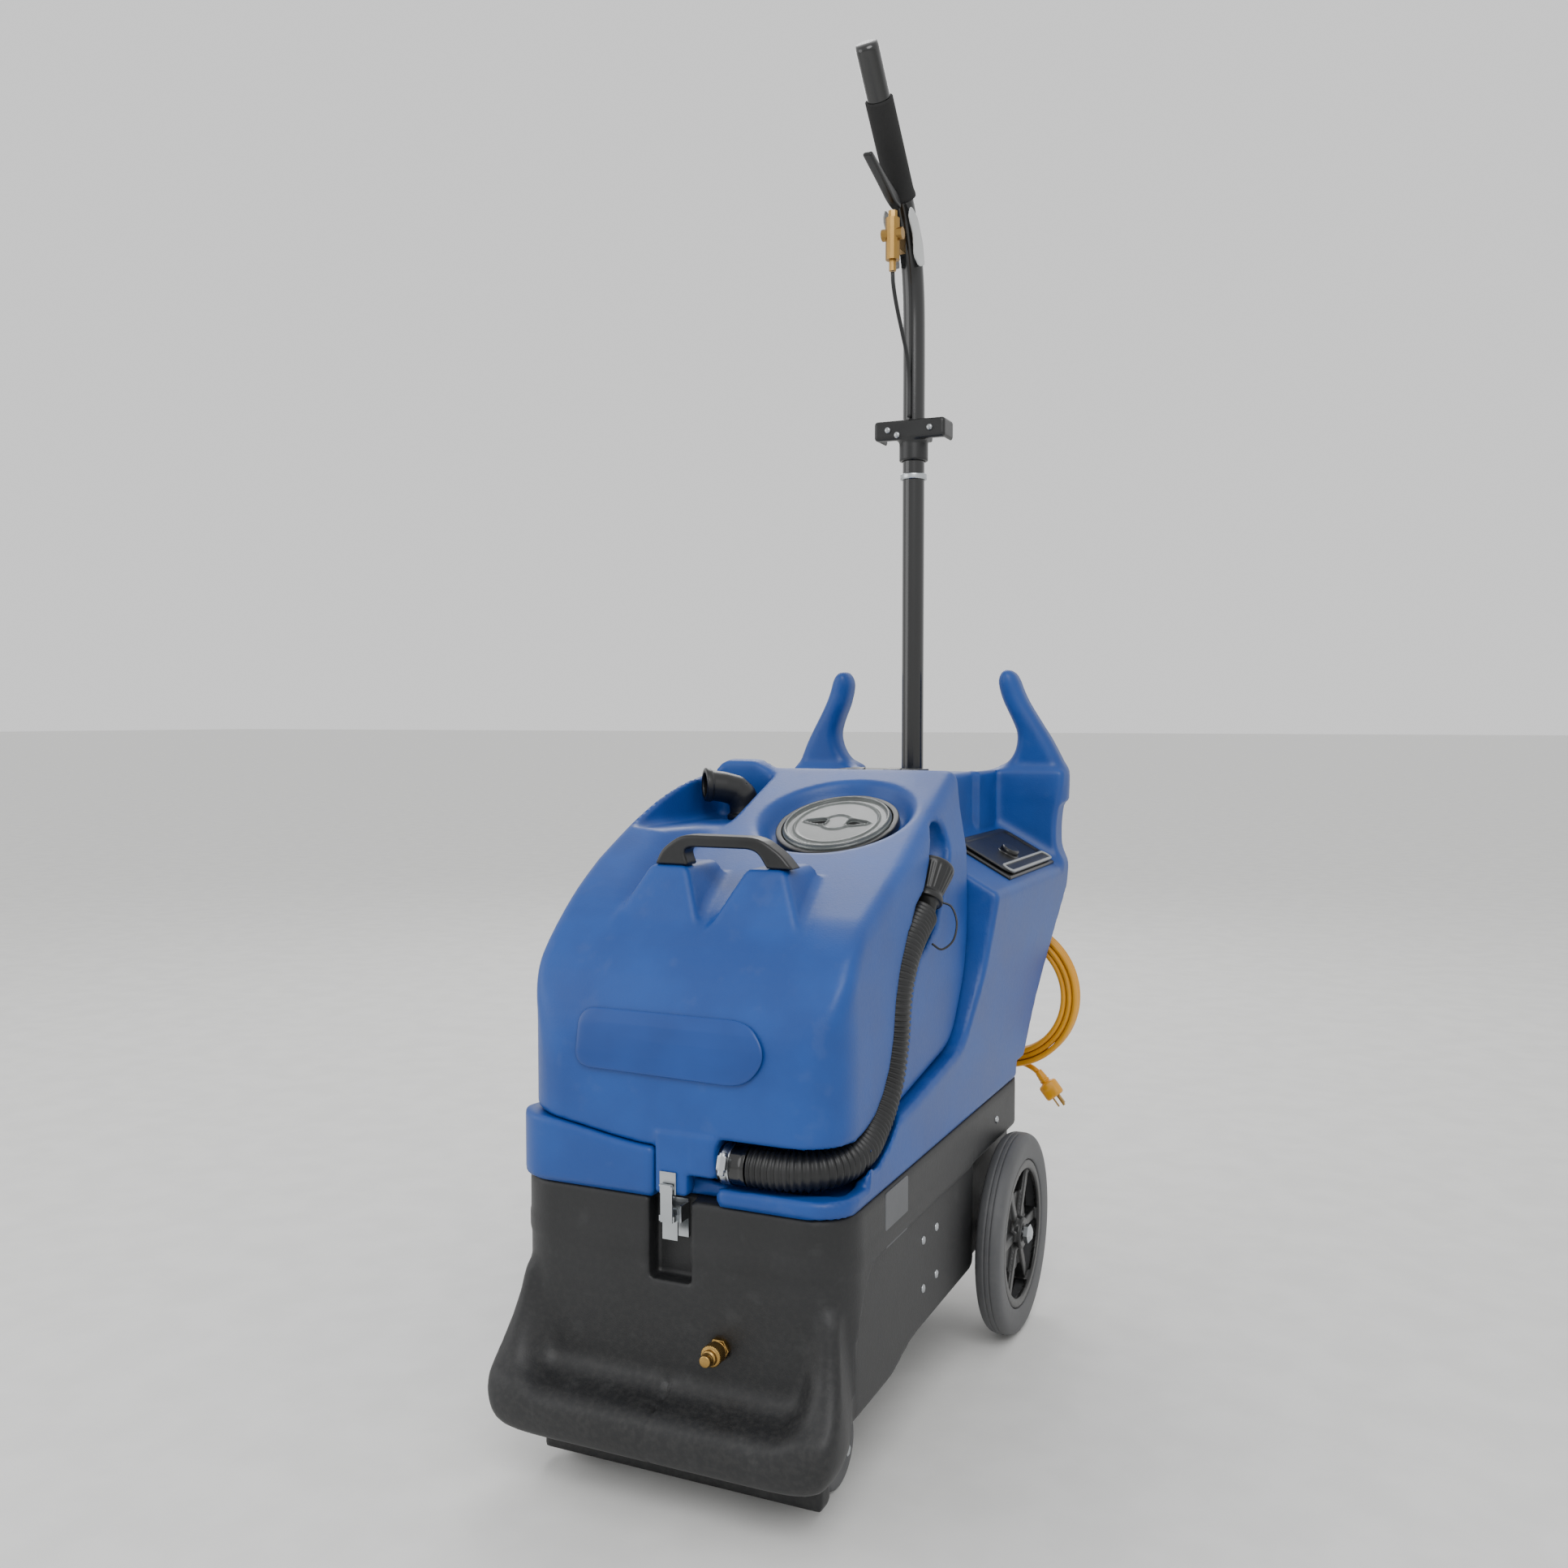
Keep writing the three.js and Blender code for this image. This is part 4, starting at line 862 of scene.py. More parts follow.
# ---------------------------------------------------------------- sub-assemblies
@dataclass
class Kit:
    """Hands out materials and adds pieces."""

    stuff: dict[str, bpy.types.Material] = field(default_factory=dict)

    def material(self, key: str) -> bpy.types.Material:
        """The finish's material, made once."""
        if key not in self.stuff:
            self.stuff[key] = make_stuff(FINISHES[key])
        return self.stuff[key]

    def add(self, obj: bpy.types.Object, body: Body, slot: str, key: str, *nodes: str) -> bpy.types.Object:
        """Gives a piece its finish and body, and hides the nodes that it stands for."""
        return finish_piece(obj, body, self.material(key), nodes)

    def carry(self, key: str, *nodes: str) -> None:
        """Gives nodes that keep their own shape a finish."""
        for name in nodes:
            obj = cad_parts[name]
            obj.data.materials.clear()
            obj.data.materials.append(self.material(key))
            LOG.info("%s: kept, %s", name, key)


def patch(name: str, edge: Array, place: Callable[[Array, Array], Array], out: Sequence[float], thick: float,
          rings: int = 14) -> bpy.types.Object:
    """A thin pad over a surface.

    The point at ring s and edge point e is place(s e), lifted by t(s) along out, where t rises from 0 at
    the edge to the pad's thickness within a twelfth of its width.

    Args:
        name: the piece's name.
        edge: (n, 2) outline about its own centre.
        place: puts (u, v) on the surface.
        out: the direction that the surface faces.
        thick: thickness.
        rings: steps from the centre to the edge.

    Returns:
        The closed piece.
    """
    share = np.concatenate([[0.0], np.linspace(0.12, 0.9, rings), [0.94, 0.97, 0.99, 1.0]])
    lift = thick * np.sqrt(np.clip(1 - (np.clip(share - 0.93, 0, 1) / 0.07) ** 2, 0, 1))
    u = share[:, None] * edge[None, :, 0]
    v = share[:, None] * edge[None, :, 1]
    top = place(u, v) + lift[:, None, None] * np.asarray(out, float)
    low = place(u, v) - 0.6 * np.asarray(out, float)
    points = np.concatenate([top, low[::-1]])
    return outward(mesh_object(name, points.reshape(-1, 3), grid_faces(len(points), len(edge), False, True)))


def scattered(name: str, profile: Sequence[tuple[float, float]], poses: Sequence[Pose],
              sides: int = 20) -> bpy.types.Object:
    """One turned profile at many places, as one piece."""
    line = np.asarray(profile, float)
    angle = np.linspace(0, 2 * math.pi, sides, endpoint=False)[None, :]
    local = np.stack([line[:, :1] * np.cos(angle), line[:, :1] * np.sin(angle), line[:, 1:] + 0 * angle], -1)
    quads = grid_faces(len(line), sides, False, True)
    points = np.concatenate([pose.out(local).reshape(-1, 3) for pose in poses])
    faces = np.concatenate([quads + k * len(line) * sides for k in range(len(poses))])
    return outward(mesh_object(name, points, faces))


@dataclass(frozen=True)
class Shells:
    """The three rotationally moulded shells and what is fixed flat on them."""

    step: float = 5.0

    def build(self, kit: Kit) -> None:
        """Adds the shells, the screws, the blank badge and the blank label."""
        kit.add(moulded("tub_shell", tub_field, (-246, -76, 10), (246, 792, 400), self.step + 0.4),
                Body.BASE, "black_shell", "black", "tub")
        kit.add(moulded("solution_shell", solution_field, (-262, -8, 366), (262, 1008, 1048),
                        self.step + 1.1),
                Body.BASE, "blue_shell", "blue", "solution_tank")
        kit.add(moulded("recovery_shell", recovery_field, (-226, -8, 372), (226, 546, 900), self.step),
                Body.TANK, "blue_shell", "blue", "recovery_tank")
        head = [(0, -3), (6, -3), (6, 0.6), (5.2, 2.0), (3.2, 2.8), (0, 3.0)]
        spots = [pose_along((s * (PANEL_HALF - 0.4), y, z), (s, 0, 0), (0, 1, 0))
                 for s in (-1, 1) for y in (300, 356) for z in (252, 186)]
        spots += [pose_along((s * (HALF_WIDTH - 0.4), 629, 332), (s, 0, 0), (0, 1, 0)) for s in (-1, 1)]
        kit.add(scattered("tub_screws", head, spots), Body.BASE, "steel", "steel")
        corner = rounded([(-42, -35, 6), (42, -35, 6), (42, 35, 6), (-42, 35, 6)])
        side = lambda u, v: np.stack([HALF_WIDTH + 0 * u, 175 + u, 332 + v], -1)
        kit.add(patch("label_blank", corner, side, (1, 0, 0), 0.6), Body.BASE, "moulded", "label")
        badge = rounded([(-128, -34, 22), (104, -38, 26), (128, -12, 30), (128, 12, 30), (104, 38, 26),
                         (-128, 38, 22)], steps=9)
        front_z = np.array([500, 512, 540, 560, 578, 600, 620.0])
        front_y = np.array([-3.6, -4.0, -2.2, 0.9, 5.2, 14.6, 26.0])
        kit.add(patch("badge_blank", badge,
                      lambda u, v: np.stack([u - 4, np.interp(v + 556, front_z, front_y) - 0.4, v + 556], -1),
                      (0, -1, 0.2), 1.6, 24), Body.TANK, "blue_shell", "badge")


@dataclass(frozen=True)
class Wheel:
    """A wheel that rolls about X."""

    body: Body
    centre: tuple[float, float, float]

    def pose(self) -> Pose:
        """Its axle as the local Z axis."""
        return Pose(self.centre, ((0, 1, 0), (0, 0, 1), (1, 0, 0)))

    def build_rear(self, kit: Kit, side: str) -> None:
        """A large rear wheel: rounded tyre and spoked rim."""
        tyre = rounded([(112.6, -17, 3), (124, -19, 8), (141, -20, 8), (149, -16.5, 6), (152, -9, 6),
                        (152.4, -5.2, 1), (151.2, -4.4, 0.6), (151.2, -3.2, 0.6), (152.4, -2.4, 1),
                        (152.4, 2.4, 1), (151.2, 3.2, 0.6), (151.2, 4.4, 0.6), (152.4, 5.2, 1), (152, 9, 6),
                        (149, 16.5, 6), (141, 20, 8), (124, 19, 8), (112.6, 17, 3)])
        kit.add(revolved(f"tyre_{side}", tyre, self.pose(), 96, True), self.body, "tyre_rubber", "tyre",
                f"rear_tyre_{side}")

        def rim(u: Array, v: Array, w: Array) -> Array:
            """A grooved outer band, a hub, a thin web and six spokes."""
            ring = np.hypot(u, v)
            outer = meet(np.abs(ring - 105) - 7.4, np.abs(w) - 16, 2.5)
            outer = carve(outer, meet(98 - ring, np.abs(w) - 9, 2), 1)
            hub = meet(ring - 24, np.abs(w) - 17, 2.5)
            web = meet(ring - 62, np.abs(w) - 2.6, 1)
            spokes = None
            for k in range(3):
                turn = math.pi * k / 3
                across = np.abs(-u * math.sin(turn) + v * math.cos(turn))
                bar = meet(across - 6 - 0.03 * ring, np.abs(w) - 9, 2.5)
                spokes = bar if spokes is None else join(spokes, bar)
            shape = join(join(meet(spokes, ring - 100), hub, 4), join(outer, web), 3)
            return carve(shape, ring - 8.9)

        kit.add(moulded(f"rim_{side}", rim, (-113, -113, -18), (113, 113, 18), 2.8, self.pose()), self.body,
                "moulded", "moulded", f"rear_rim_{side}")

    def build_caster(self, kit: Kit, side: str) -> None:
        """A small front wheel: soft tread on a grey core."""
        tread = rounded([(38, -14, 1), (46, -14.8, 4), (50, -10, 5), (51, -5, 4), (51, 5, 4), (50, 10, 5),
                         (46, 14.8, 4), (38, 14, 1), (34, 12.5, 3), (20, 12, 3), (14, 15, 2), (4.9, 15),
                         (4.9, -15), (14, -15, 2), (20, -12, 3), (34, -12.5, 3)])
        kit.add(revolved(f"roller_{side}", tread, self.pose(), 72, True), self.body, "tyre_rubber", "tyre",
                f"caster_wheel_{side}")


@dataclass(frozen=True)
class DrainHose:
    """The ribbed hose in its channel, its cuff, clamp, dump cap and the cap's tether."""

    pitch: float = 7.6
    rib: float = 1.5

    def build(self, kit: Kit) -> None:
        """Adds the hose's pieces.

        The hose's radius at distance s is R - d + d cos(2 pi s / pitch), sharpened towards the crests.
        """
        line = spline([(x, y, z) for x, y, z in HOSE_LINE[1:]], 1.3)
        run = np.arange(len(line)) * np.linalg.norm(line[1] - line[0])
        wave = 0.5 + 0.5 * np.cos(2 * math.pi * run / self.pitch)
        radius = HOSE_R - 2 * self.rib + 2 * self.rib * wave ** 0.7
        keep = run < run[-1] - 16
        kit.add(swept("hose_ribbed", line[keep], radius[keep], 40), Body.TANK, "moulded", "ribbed",
                "drain_hose")
        at = pose_along((62, 22, HOSE_Z), (1, 0, 0), (0, 1, 0))
        cuff = rounded([(20.4, 1), (23.6, 1, 1), (23.6, 30, 2), (24.4, 33, 1), (24.4, 37.4, 1), (20.4, 37.4)])
        kit.add(revolved("cuff_smooth", cuff, at, 48, True), Body.TANK, "moulded", "gloss", "hose_cuff")
        band = [(23.8, 5), (24.8, 5), (24.8, 7), (24.4, 7.4), (24.4, 14.6), (24.8, 15), (24.8, 17),
                (23.8, 17)]
        kit.add(revolved("clamp_band", band, at, 64, True), Body.TANK, "zinc", "zinc", "hose_clamp")
        house = lambda u, v, w: join(block(u, v, w, (-9, 9, -6, 6, -4, 5), 2),
                                     meet(np.hypot(v, w - 0.5) - 4.6, slab(u, -15, 12), 1.2), 1)
        seat = Pose((73, 22 - 25.2, HOSE_Z + 8), ((0, 0.3, 0.954), (1, 0, 0), (0, -0.954, 0.3)))
        kit.add(moulded("clamp_screw", house, (-16, -7, -5), (13, 7, 7), 1.1, seat), Body.TANK, "zinc",
                "zinc")
        axis = pose_along(CUFF_END, CAP_END - CUFF_END)
        high = float(np.linalg.norm(CAP_END - CUFF_END))
        cap = rounded([(0, -14), (17, -14), (17, 12), (24.5, 12, 2), (24.5, 20, 3), (21, 24, 4),
                       (30.5, high - 9, 4), (30.5, high - 4, 3), (27, high, 3), (22, high, 2),
                       (20, high - 3, 2), (0, high - 3)])
        ribs = lambda a, h: np.where((h > 27) & (h < high - 10), 0.5 * np.cos(24 * a), 0)
        kit.add(revolved("dump_cap", cap, axis, 144, ripple=ribs), Body.TANK, "moulded", "moulded",
                "drain_cap")
        loop = spline([(226, 358, 702), (240, 360, 696), (250, 352, 676), (250, 336, 654), (240, 318, 644),
                       (229, 310, 652)], 3)
        kit.add(swept("cap_tether", loop, 1.5, 10), Body.TANK, "moulded", "moulded")


@dataclass(frozen=True)
class TankTop:
    """What stands on the recovery tank: handle, lid, ring, and intake elbow."""

    def build(self, kit: Kit) -> None:
        """Adds the pieces on the tank."""
        outer = rounded([(-88, 763.4, 2), (-80, 782, 10), (-52, 803, 16), (60, 803, 16), (92, 782, 10),
                         (108, 763.4, 2), (72, 763.4, 2), (60, 782, 8), (48, 787, 8), (-38, 787, 8),
                         (-47, 782, 8), (-40, 763.4, 2)])
        bar = lambda x, y, z: meet(outline(x, z, outer), slab(y, 122, 152), 4)
        kit.add(moulded("handle_bar", bar, (-92, 120, 761), (112, 154, 805), 2.4), Body.TANK, "moulded",
                "moulded", "tank_handle")
        ring = rounded([(62, -11.6), (89.5, -11.6, 1), (89.5, 0, 2), (81, 0, 1), (80.8, -7), (62, -7)])
        grip = lambda a, h: np.where(h > -9, 0.9 * smoothstep(0.90, 0.97, np.cos(a * 4 + 0.6)), 0)
        kit.add(revolved("neck_ring", ring, LID, 96, True, grip), Body.TANK, "moulded", "moulded", "lid_ring")

        def lid(u: Array, v: Array, w: Array) -> Array:
            """A disc with three raised rings and a wall round each finger pocket."""
            r = np.hypot(u, v)
            shape = meet(r - 79.4, slab(w, -6.2, 1.5), 2)
            for inner, outer_r, high in ((73, 77, 5.0), (60, 62.5, 3.4), (20, 23, 3.6)):
                band = np.abs(r - (inner + outer_r) / 2) - (outer_r - inner) / 2
                shape = join(shape, meet(band, slab(w, -4, high), 1), 1.2)
            drop = pocket(u, v)
            wall = meet(drop - 2.2, slab(w, -4, 3.6), 1)
            return carve(join(shape, wall, 1), meet(drop, -2.5 - w), 0.6)

        def pocket(u: Array, v: Array) -> Array:
            """Two teardrops, round towards the middle and pointed outwards."""
            out = np.abs(u)
            return meet(np.abs(v) - (9.5 - 0.30 * np.maximum(out - 26, 0)), slab(out, 16, 51), 6)

        kit.add(moulded("lid_clear", lid, (-81, -81, -7), (81, 81, 6), 1.7, LID), Body.LID, "clear_lid",
                "clear", "recovery_lid")
        dark = lambda u, v, w: meet(pocket(u, v) + 0.4, slab(w, -3.6, -2.1))
        kit.add(moulded("lid_pockets", dark, (-52, -10, -4), (52, 10, -2), 1.0, LID), Body.LID, "moulded",
                "moulded")
        bend = np.array([(0, 0, 4), (0, 0, 24), (-4, -4, 36), (-12, -10, 45), (-26, -22, 50),
                         (-48, -40, 54)], float)
        mouth = np.array([(-8, -7, 44), (-26, -22, 50), (-70, -58, 58)], float)

        def elbow(x: Array, y: Array, z: Array) -> Array:
            """A bent tube with a flange below and a rim round its slanted mouth."""
            u, v, w = (c - o for c, o in zip((x, y, z), ELBOW))
            shape = chain(u, v, w, bend, 23.0)
            shape = meet(shape, 0.4 - w)
            cut = (-(u + 48) - 0.82 * (v + 40)) / 1.29
            shape = meet(shape, cut, 2)
            flange = meet(np.hypot(u, v) - 27, slab(w, 0.4, 8), 2)
            rim = meet(chain(u, v, w, bend[3:], 25.5), slab(cut, -9, 0), 1.5)
            return carve(join(join(shape, rim, 2), flange, 4), chain(u, v, w, mouth, 18.0), 1.5)

        kit.add(moulded("elbow_mouth", elbow, (-200, 396, 797), (-92, 498, 880), 2.3), Body.TANK, "moulded",
                "moulded", "intake_elbow")


@dataclass(frozen=True)
class FillOpening:
    """The fill opening's frame and its hinged lid, in the sloping ledge."""

    def build(self, kit: Kit) -> None:
        """Adds the frame and the lid."""
        rim = lambda u, v, w: carve(block(u, v, w, (-56, 56, -140, 140, -2, 5), 2.4),
                                    block(u, v, w, (-42, 42, -124, 124, -6, 12), 3), 1.5)
        kit.add(moulded("fill_rim", rim, (-57, -141, -3), (57, 141, 6), 2.4, FILL), Body.BASE, "moulded",
                "moulded", "fill_frame")

        def lid(u: Array, v: Array, w: Array) -> Array:
            """A plate with a shallow dish, a knob and a plug underneath."""
            plate = meet(meet(slab(u, -49, 52), slab(v, -132, 132), 20), slab(w, 5.8, 10.5), 1.6)
            dish = meet(meet(slab(u, -40, 30), slab(v, -120, 120), 14), 8.2 - w, 1)
            knob = meet(np.hypot(u - 8, (v + 10) * 0.7) - 15, slab(w, 6, 18), 4)
            plug = block(u, v, w, (-38, 38, -118, 118, 1.6, 7), 2)
            return join(join(carve(plate, dish, 1), knob, 2), plug, 1)

        kit.add(moulded("fill_cover", lid, (-51, -134, 0), (54, 134, 19), 2.3, FILL), Body.FILL, "moulded",
                "moulded", "fill_lid")

        def lip(u: Array, v: Array, w: Array) -> Array:
            """A narrow raised frame along the cover's outer edge."""
            ring = meet(slab(u, 30, 52.5), slab(v, -126, 126), 11)
            return meet(meet(ring, -meet(slab(u, 34, 48), slab(v, -121, 121), 8)), slab(w, 9.5, 13), 1)

        kit.add(moulded("fill_lip", lip, (29, -127, 9), (54, 127, 14), 1.7, FILL), Body.FILL, "moulded",
                "grey")


@dataclass(frozen=True)
class Wand:
    """The standing spray wand."""

    route: tuple[tuple[float, float], ...] = ((0, 672), (0, 900), (0, 1150), (0, 1400), (0, 1600), (-5, 1690),
                                              (-22, 1755), (-62, 1822), (-118, 1884), (-177, 1948))
    tip: tuple[float, float] = (-234, 2012)

    def build(self, kit: Kit) -> None:
        """Adds the tube, grip, bracket, trigger and line."""
        points = [(0, WAND_Y + y, z) for y, z in (*self.route, self.tip)]
        line = spline(points, 8)
        radius = np.full(len(line), 19.0)
        radius[-1] = 17.6
        kit.add(swept("wand_pipe", line, radius, 40), Body.BASE, "moulded", "gloss", "wand_tube")
        low, high = np.array((0, WAND_Y - 66, 1826.5)), np.array((0, WAND_Y - 177, 1948.0))
        sleeve = spline([low + (high - low) * t for t in np.linspace(0, 1, 6)], 4)
        swell = 23 + 1.4 * np.exp(-((np.linspace(0, 1, len(sleeve)) - 0.02) / 0.04) ** 2)
        kit.add(swept("grip_sleeve", sleeve, swell, 40), Body.BASE, "foam", "foam", "wand_grip")

        def bracket(x: Array, y: Array, z: Array) -> Array:
            """A collar and a crossbar with a slot in each arm."""
            v = y - WAND_Y
            shape = join(meet(np.hypot(x, v) - 25, slab(z, 1398, 1436), 2),
                         block(x, v, z, (-64, 64, -27, 27, 1433, 1467), 6), 5)
            for s in (-1, 1):
                shape = carve(shape, block(s * x, v, z, (26, 58, -14, 60, 1400, 1500), 5), 2)
            return carve(shape, np.hypot(x, v) - 19.8)

        kit.add(moulded("cross_bracket", bracket, (-65, WAND_Y - 28, 1397), (65, WAND_Y + 28, 1468), 2.6),
                Body.BASE, "black_shell", "moulded", "wand_bracket")
        bolt = [(0, -3), (5.5, -3), (5.5, 2), (4.6, 3.4), (2.6, 4.2), (0, 4.2)]
        spots = [pose_along((x, WAND_Y - 27, z), (0, -1, 0))
                 for x, z in ((-38, 1450), (38, 1450), (-21, 1441))]
        kit.add(scattered("bracket_bolts", bolt, spots), Body.BASE, "steel", "steel")
        clip = lambda x, y, z: carve(meet(np.hypot(x, y - WAND_Y) - 23, slab(z, 1366, 1376), 1.5),
                                     np.hypot(x, y - WAND_Y) - 19.1)
        kit.add(moulded("tube_clip", clip, (-24, WAND_Y - 24, 1365), (24, WAND_Y + 24, 1377), 1.9), Body.BASE,
                "zinc", "zinc")
        hand = rounded([(8, -8, 3), (12, 2, 4), (-2, 13, 8), (-60, 24, 20), (-126, 41, 4), (-131, 34, 3),
                        (-64, 12, 30), (-20, -4, 12)])
        lever = lambda x, y, z: meet(outline(y - WAND_Y + 100, z - 1808, hand), np.abs(x) - 8, 3)
        kit.add(moulded("squeeze_lever", lever, (-9, WAND_Y - 234, 1798), (9, WAND_Y - 86, 1851), 2.2),
                Body.TRIGGER, "moulded", "moulded", "wand_trigger")
        cheek = rounded([(-14, 1728, 4), (-24, 1762, 8), (-52, 1797, 8), (-86, 1806, 8), (-96, 1786, 8),
                         (-72, 1762, 10), (-68, 1728, 10), (-40, 1718, 8)])
        plate = lambda x, y, z: meet(meet(outline(y - WAND_Y, z, cheek), np.abs(x) - 24, 1), 21.4 - np.abs(x))
        kit.add(moulded("valve_plate", plate, (-25, WAND_Y - 98, 1716), (25, WAND_Y - 12, 1808), 1.9),
                Body.BASE, "moulded", "white")
        tube = spline([(0, WAND_Y - 110, 1692.5), (0, WAND_Y - 106, 1672), (0, WAND_Y - 88, 1640),
                       (0, WAND_Y - 62, 1606), (0, WAND_Y - 36, 1570), (0, WAND_Y - 25, 1528),
                       (0, WAND_Y - 24.5, 1470)], 5)
        kit.add(swept("spray_line", tube, 3.4, 14), Body.BASE, "moulded", "ribbed", "solution_line")


@dataclass(frozen=True)
class MainsCord:
    """The yellow cord: gland, tail, hung coil, lead and plug, as one line.

    The coil is wound in three layers. Each layer is a helix of one cord's pitch about Y, and between layers
    the radius eases outwards over half a turn.
    """

    radius: float = 4.8
    centre: tuple[float, float, float] = (151.0, 962.0, 466.0)
    layers: tuple[float, ...] = (105.4, 115.5, 125.6)
    pitch: float = 10.0
    turns_per_layer: float = 3.0

    def line(self) -> Array:
        """The cord's whole centreline."""
        run, reach = self.turns_per_layer, self.turns_per_layer * self.pitch / 2
        knots, radii, offsets = [0.0], [self.layers[0]], [-reach]
        side = 1.0
        for k, radius in enumerate(self.layers):
            if k:
                knots.append(knots[-1] + 0.5)
                radii.append(radius)
                offsets.append(offsets[-1])
            knots.append(knots[-1] + run)
            radii.append(radius)
            offsets.append(side * reach)
            side = -side
        turn = np.linspace(0, knots[-1], int(120 * knots[-1]))
        size = np.interp(turn, knots, radii)
        angle = 2 * math.pi * turn - math.pi / 2
        x0, y0, z0 = self.centre
        coil = np.stack([x0 + size * np.cos(angle), y0 + np.interp(turn, knots, offsets),
                         z0 + size * np.sin(angle)],
                        -1)
        tail = [(150, 790, 330), (150, 812, 330), (150, 834, 330), (149.5, 852, 327), (146, 872, 317),
                (138, 892, 302), (121, 912, 289), (98, 926, 283), (74, 933.5, 289), (58, 936, 307),
                (56, 936.5, 329), (68, 936.5, 348), (89, 936.7, 358.5), (112, 938.5, 362.5), (133, 943, 362)]
        end = coil[-1]
        lead = [end + (14, 0.2, 0), end + (30, 0.2, -3), end + (48, 0, -11), end + (62, -1, -23),
                end + (72, -2, -35)]
        return spline(np.concatenate([tail, coil[::3], lead]), 5.0)

    def build(self, kit: Kit) -> None:
        line = self.line()
        cord = kit.add(swept("mains_cord", line, self.radius, 16), Body.BASE, "yellow_cord", "yellow",
                       "cord_coil", "cord_tail", "cord_lead")
        at = pose_along(GLAND, (0, 1, 0))
        relief_line = [(0, 0.4), (13, 0.4), (13, 6), (11, 8), (9.5, 9)]
        for k in range(5):
            start, width = 10 + 6 * k, 9.2 - 0.6 * k
            relief_line += [(width, start), (width, start + 3.4), (width - 1.6, start + 3.8),
                            (width - 1.6, start + 5.4)]
        relief_line += [(5.7, 39.4), (4.0, 40), (0, 40)]
        gland = kit.add(revolved("gland_boot", relief_line, at, 36), Body.BASE, "moulded", "moulded",
                        "cord_gland")
        aim = line[-1] - line[-4]
        aim /= np.linalg.norm(aim)
        seat = pose_along(line[-1] - 24 * aim, aim, (0, 1, 0))

        def plug_body(u: Array, v: Array, w: Array) -> Array:
            """A ribbed boot, a waist and a flattened body."""
            ring = np.hypot(u, v)
            boot = meet(ring - (9.6 - 0.12 * (24 - np.minimum(w, 24))), slab(w, -4, 26), 1)
            grooves = meet(7.2 - ring, np.abs((w + 2) % 6 - 3) - 0.9)
            boot = carve(boot, meet(grooves, slab(w, -2, 22)), 0.4)
            body = meet(meet(ring - 17, np.abs(u) - 13.5, 5), slab(w, 22, 50), 5)
            waist = meet(ring - 15.2, slab(w, 22, 34), 3)
            return join(join(boot, waist, 3), body, 2)

        plug = kit.add(moulded("plug_body", plug_body, (-18, -18, -5), (18, 18, 51), 1.5, seat), Body.BASE,
                       "yellow_cord", "yellow", "cord_plug")
        pins = lambda u, v, w: join(join(block(u, v, w, (-3.2, 3.2, 5.6, 7.1, 46, 67), 0.5),
                                         block(u, v, w, (-3.2, 3.2, -7.1, -5.6, 46, 67), 0.5)),
                                    meet(np.hypot(u - 9.0, v) - 2.4, slab(w, 46, 70), 1))
        blades = kit.add(moulded("plug_blades", pins, (-4, -8, 45), (12, 8, 71), 0.8, seat), Body.BASE,
                         "brass", "brass")


@dataclass(frozen=True)
class Fittings:
    """The coupler and the nodes that keep their own shape."""

    def build(self, kit: Kit) -> None:
        """Adds the coupler and finishes the rest."""
        at = pose_along(COUPLER, (0, -1, 0))
        nipple = rounded([(0, -16), (8.4, -16), (8.4, 0.6), (14, 0.6, 1), (14, 9, 1), (10, 9.4, 1),
                          (10, 14), (13, 14, 1), (13, 29, 1.5), (9.4, 30, 1), (9.4, 34, 1), (7.4, 36, 1),
                          (7.4, 38.5), (6.6, 39.2), (7.4, 40), (7.2, 44, 1), (6, 45), (0, 45)])

        def shape(a: Array, h: Array) -> Array:
            """A hexagon low on the nipple and a fine knurl on its collar."""
            hexagon = 14 * (math.cos(math.pi / 6) / np.cos((a % (math.pi / 3)) - math.pi / 6) - 1)
            knurl = 0.35 * np.cos(36 * a)
            return np.where((h > 0.5) & (h < 9.2), hexagon, np.where((h > 15) & (h < 28.9), knurl, 0))

        kit.add(revolved("coupler_nipple", nipple, at, 216, ripple=shape), Body.BASE, "brass", "brass",
                "quick_coupler")
        x0, y0, z0 = 151.0, 990.0, 564.6
        arm = rounded([(936, z0 - 12, 2), (y0 + 1, z0 - 12, 6), (y0 + 1, z0 + 14, 2), (y0 - 4, z0 + 14, 2),
                       (y0 - 4, z0, 3), (925, z0)])
        hook = lambda x, y, z: meet(outline(y, z, arm), np.abs(x - x0) - 13, 3)
        kit.add(moulded("hook_arm", hook, (x0 - 14, 920, z0 - 13), (x0 + 14, y0 + 3, z0 + 16), 2.2),
                Body.BASE, "blue_shell", "blue", "cord_hook")
        kit.carry("zinc", "caster_plate_left", "caster_plate_right", "caster_fork_left", "caster_fork_right",
                  "caster_bolt_left", "caster_bolt_right", "axle_nut_left", "axle_nut_right", "latch_plate",
                  "latch_lever", "latch_hook", "latch_keeper")
        kit.carry("steel", "rear_axle", "wand_head", "pump_motor")
        kit.carry("brass", "wand_valve", "solution_pump")
        kit.carry("moulded", "switch_panel", "vacuum_switch", "pump_switch", "vacuum_motor_left",
                  "vacuum_motor_right", "standpipe", "float_cage")
        kit.carry("clear", "float_ball")


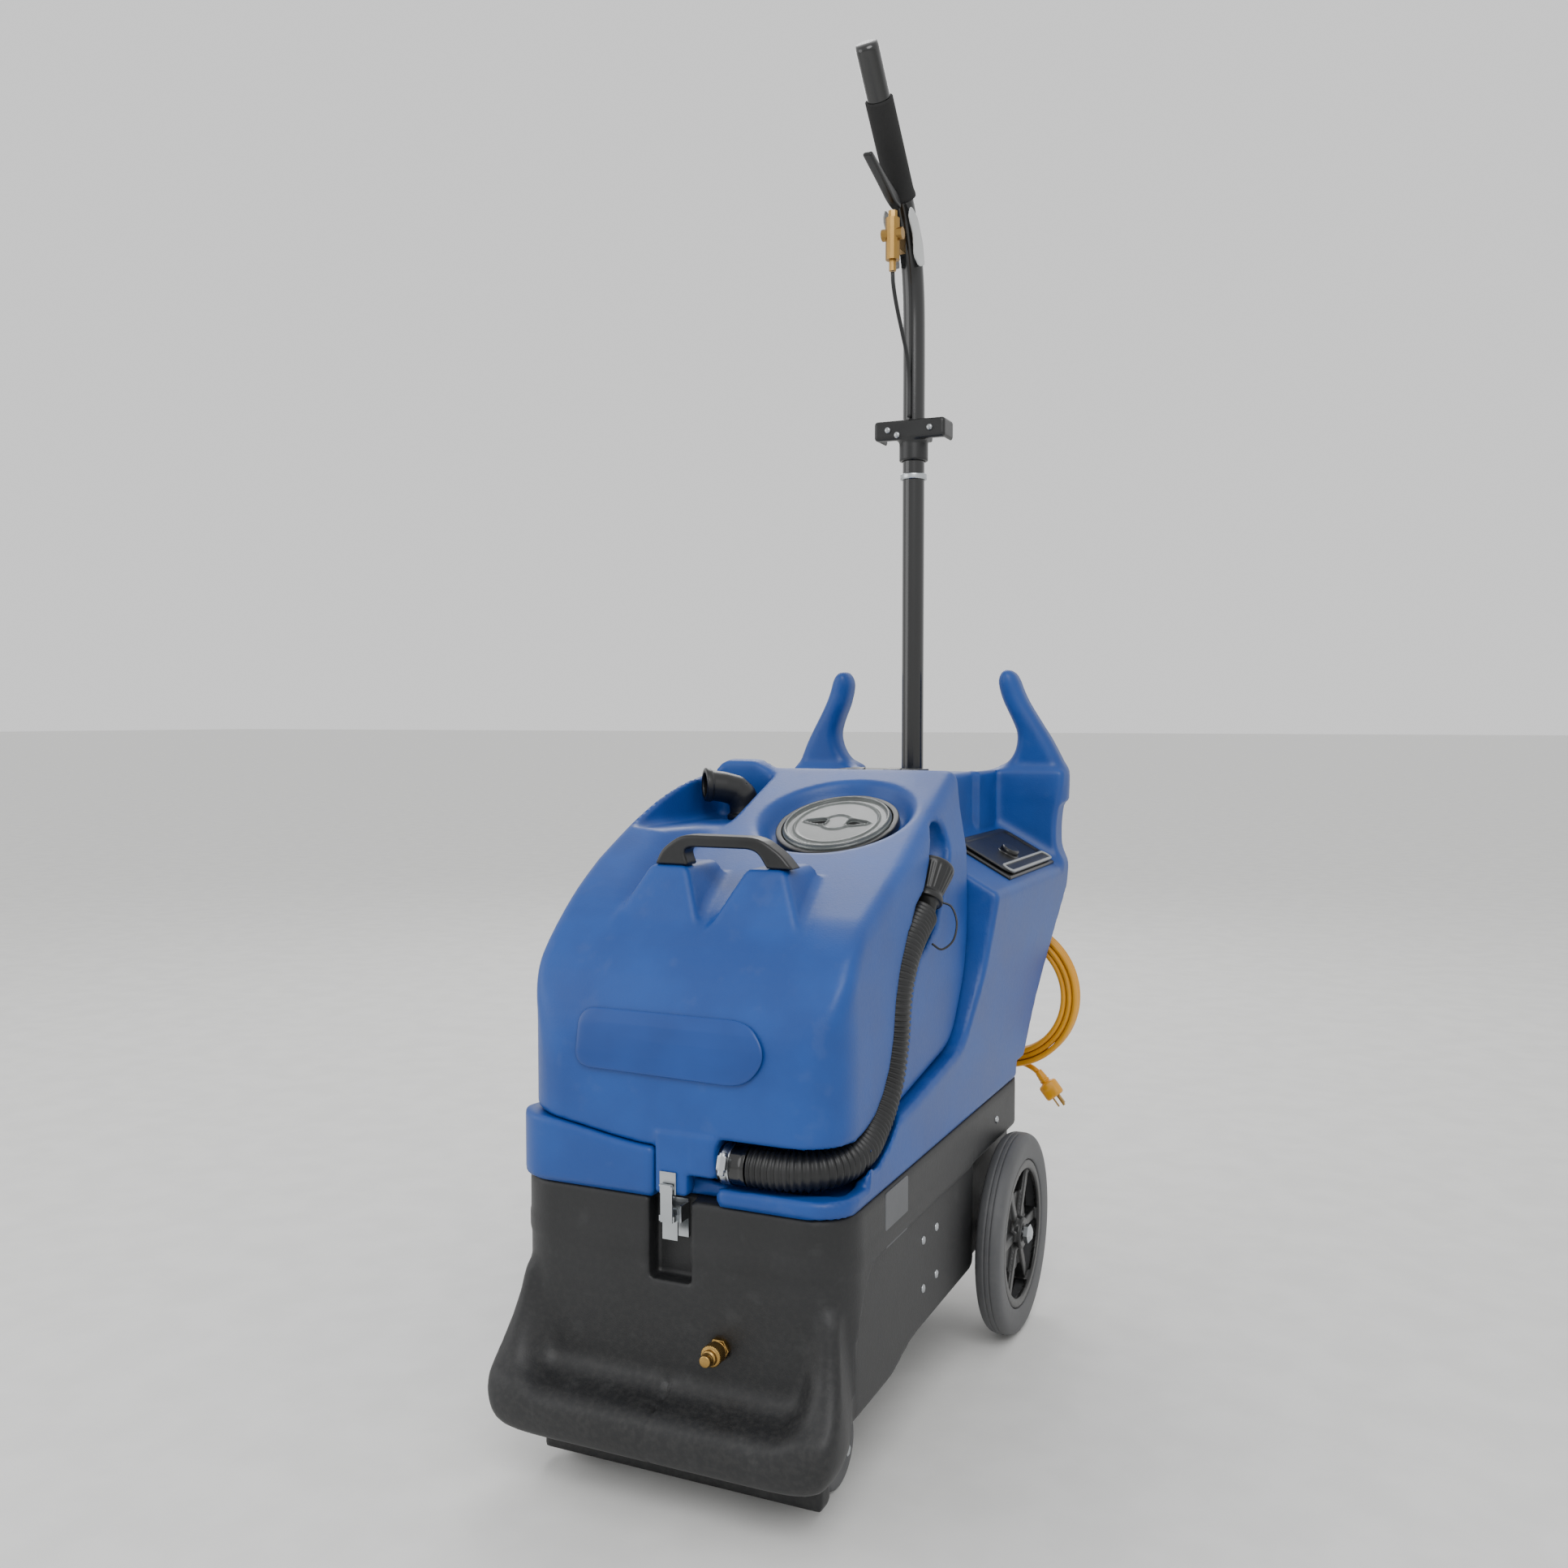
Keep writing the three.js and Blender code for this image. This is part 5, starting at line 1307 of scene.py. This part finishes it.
# ---------------------------------------------------------------- floor, light and camera
def studio() -> None:
    """A pale floor, three soft lights, a pale world and the camera."""
    reach, level = 80000.0, -0.5
    corners = np.array([(-reach, -reach, level), (reach, -reach, level), (reach, reach, level),
                        (-reach, reach, level)])
    ground = mesh_object("floor", corners, np.array([[0, 1, 2, 3]]), False)
    ground.data.materials.append(make_stuff(FINISHES["floor"]))
    lights = (("key", (1.6, -3.2, 3.8), 2.8, 95.0), ("fill", (-3.6, -2.4, 2.0), 3.2, 40.0),
              ("back", (-1.4, 3.4, 3.6), 2.4, 60.0))
    aim = np.array((0.0, 0.0, 0.7))
    for name, place, size, power in lights:
        lamp = bpy.data.lights.new(name, "AREA")
        lamp.shape, lamp.size, lamp.energy = "DISK", size, power
        obj = bpy.data.objects.new(name, lamp)
        obj.location = place
        obj.rotation_euler = Vector(aim - np.array(place)).to_track_quat("-Z", "Y").to_euler()
        bpy.context.scene.collection.objects.link(obj)
    world = bpy.data.worlds.new("studio")
    world.use_nodes = True
    sky = world.node_tree.nodes["Background"]
    sky.inputs["Color"].default_value = (1.0, 1.0, 1.0, 1.0)
    sky.inputs["Strength"].default_value = 1.0
    bpy.context.scene.world = world
    view = bpy.data.cameras.new("camera")
    view.lens, view.sensor_width = 32.99, 36.0
    camera = bpy.data.objects.new("camera", view)
    camera.location = PLACE.metres((833.3, -1508.9, 955.5))
    straight, down, left = 90.0, 2.7, 24.3
    camera.rotation_euler = (math.radians(straight - down), 0.0, math.radians(left))
    bpy.context.scene.collection.objects.link(camera)
    bpy.context.scene.camera = camera


def main() -> None:
    """Builds everything."""
    studio()
    kit = Kit()
    MainsCord().build(kit)
    Shells().build(kit)
    for side, sign in (("left", -1), ("right", 1)):
        Wheel(Body(f"rear_wheel_{side}"), (sign * WHEEL_X, WHEEL_Y, WHEEL_R)).build_rear(kit, side)
        Wheel(Body(f"caster_roller_{side}"), (sign * CASTER_X, CASTER_Y, CASTER_R)).build_caster(kit, side)
    DrainHose().build(kit)
    TankTop().build(kit)
    FillOpening().build(kit)
    Wand().build(kit)
    Fittings().build(kit)


if __name__ == "__main__":
    main()
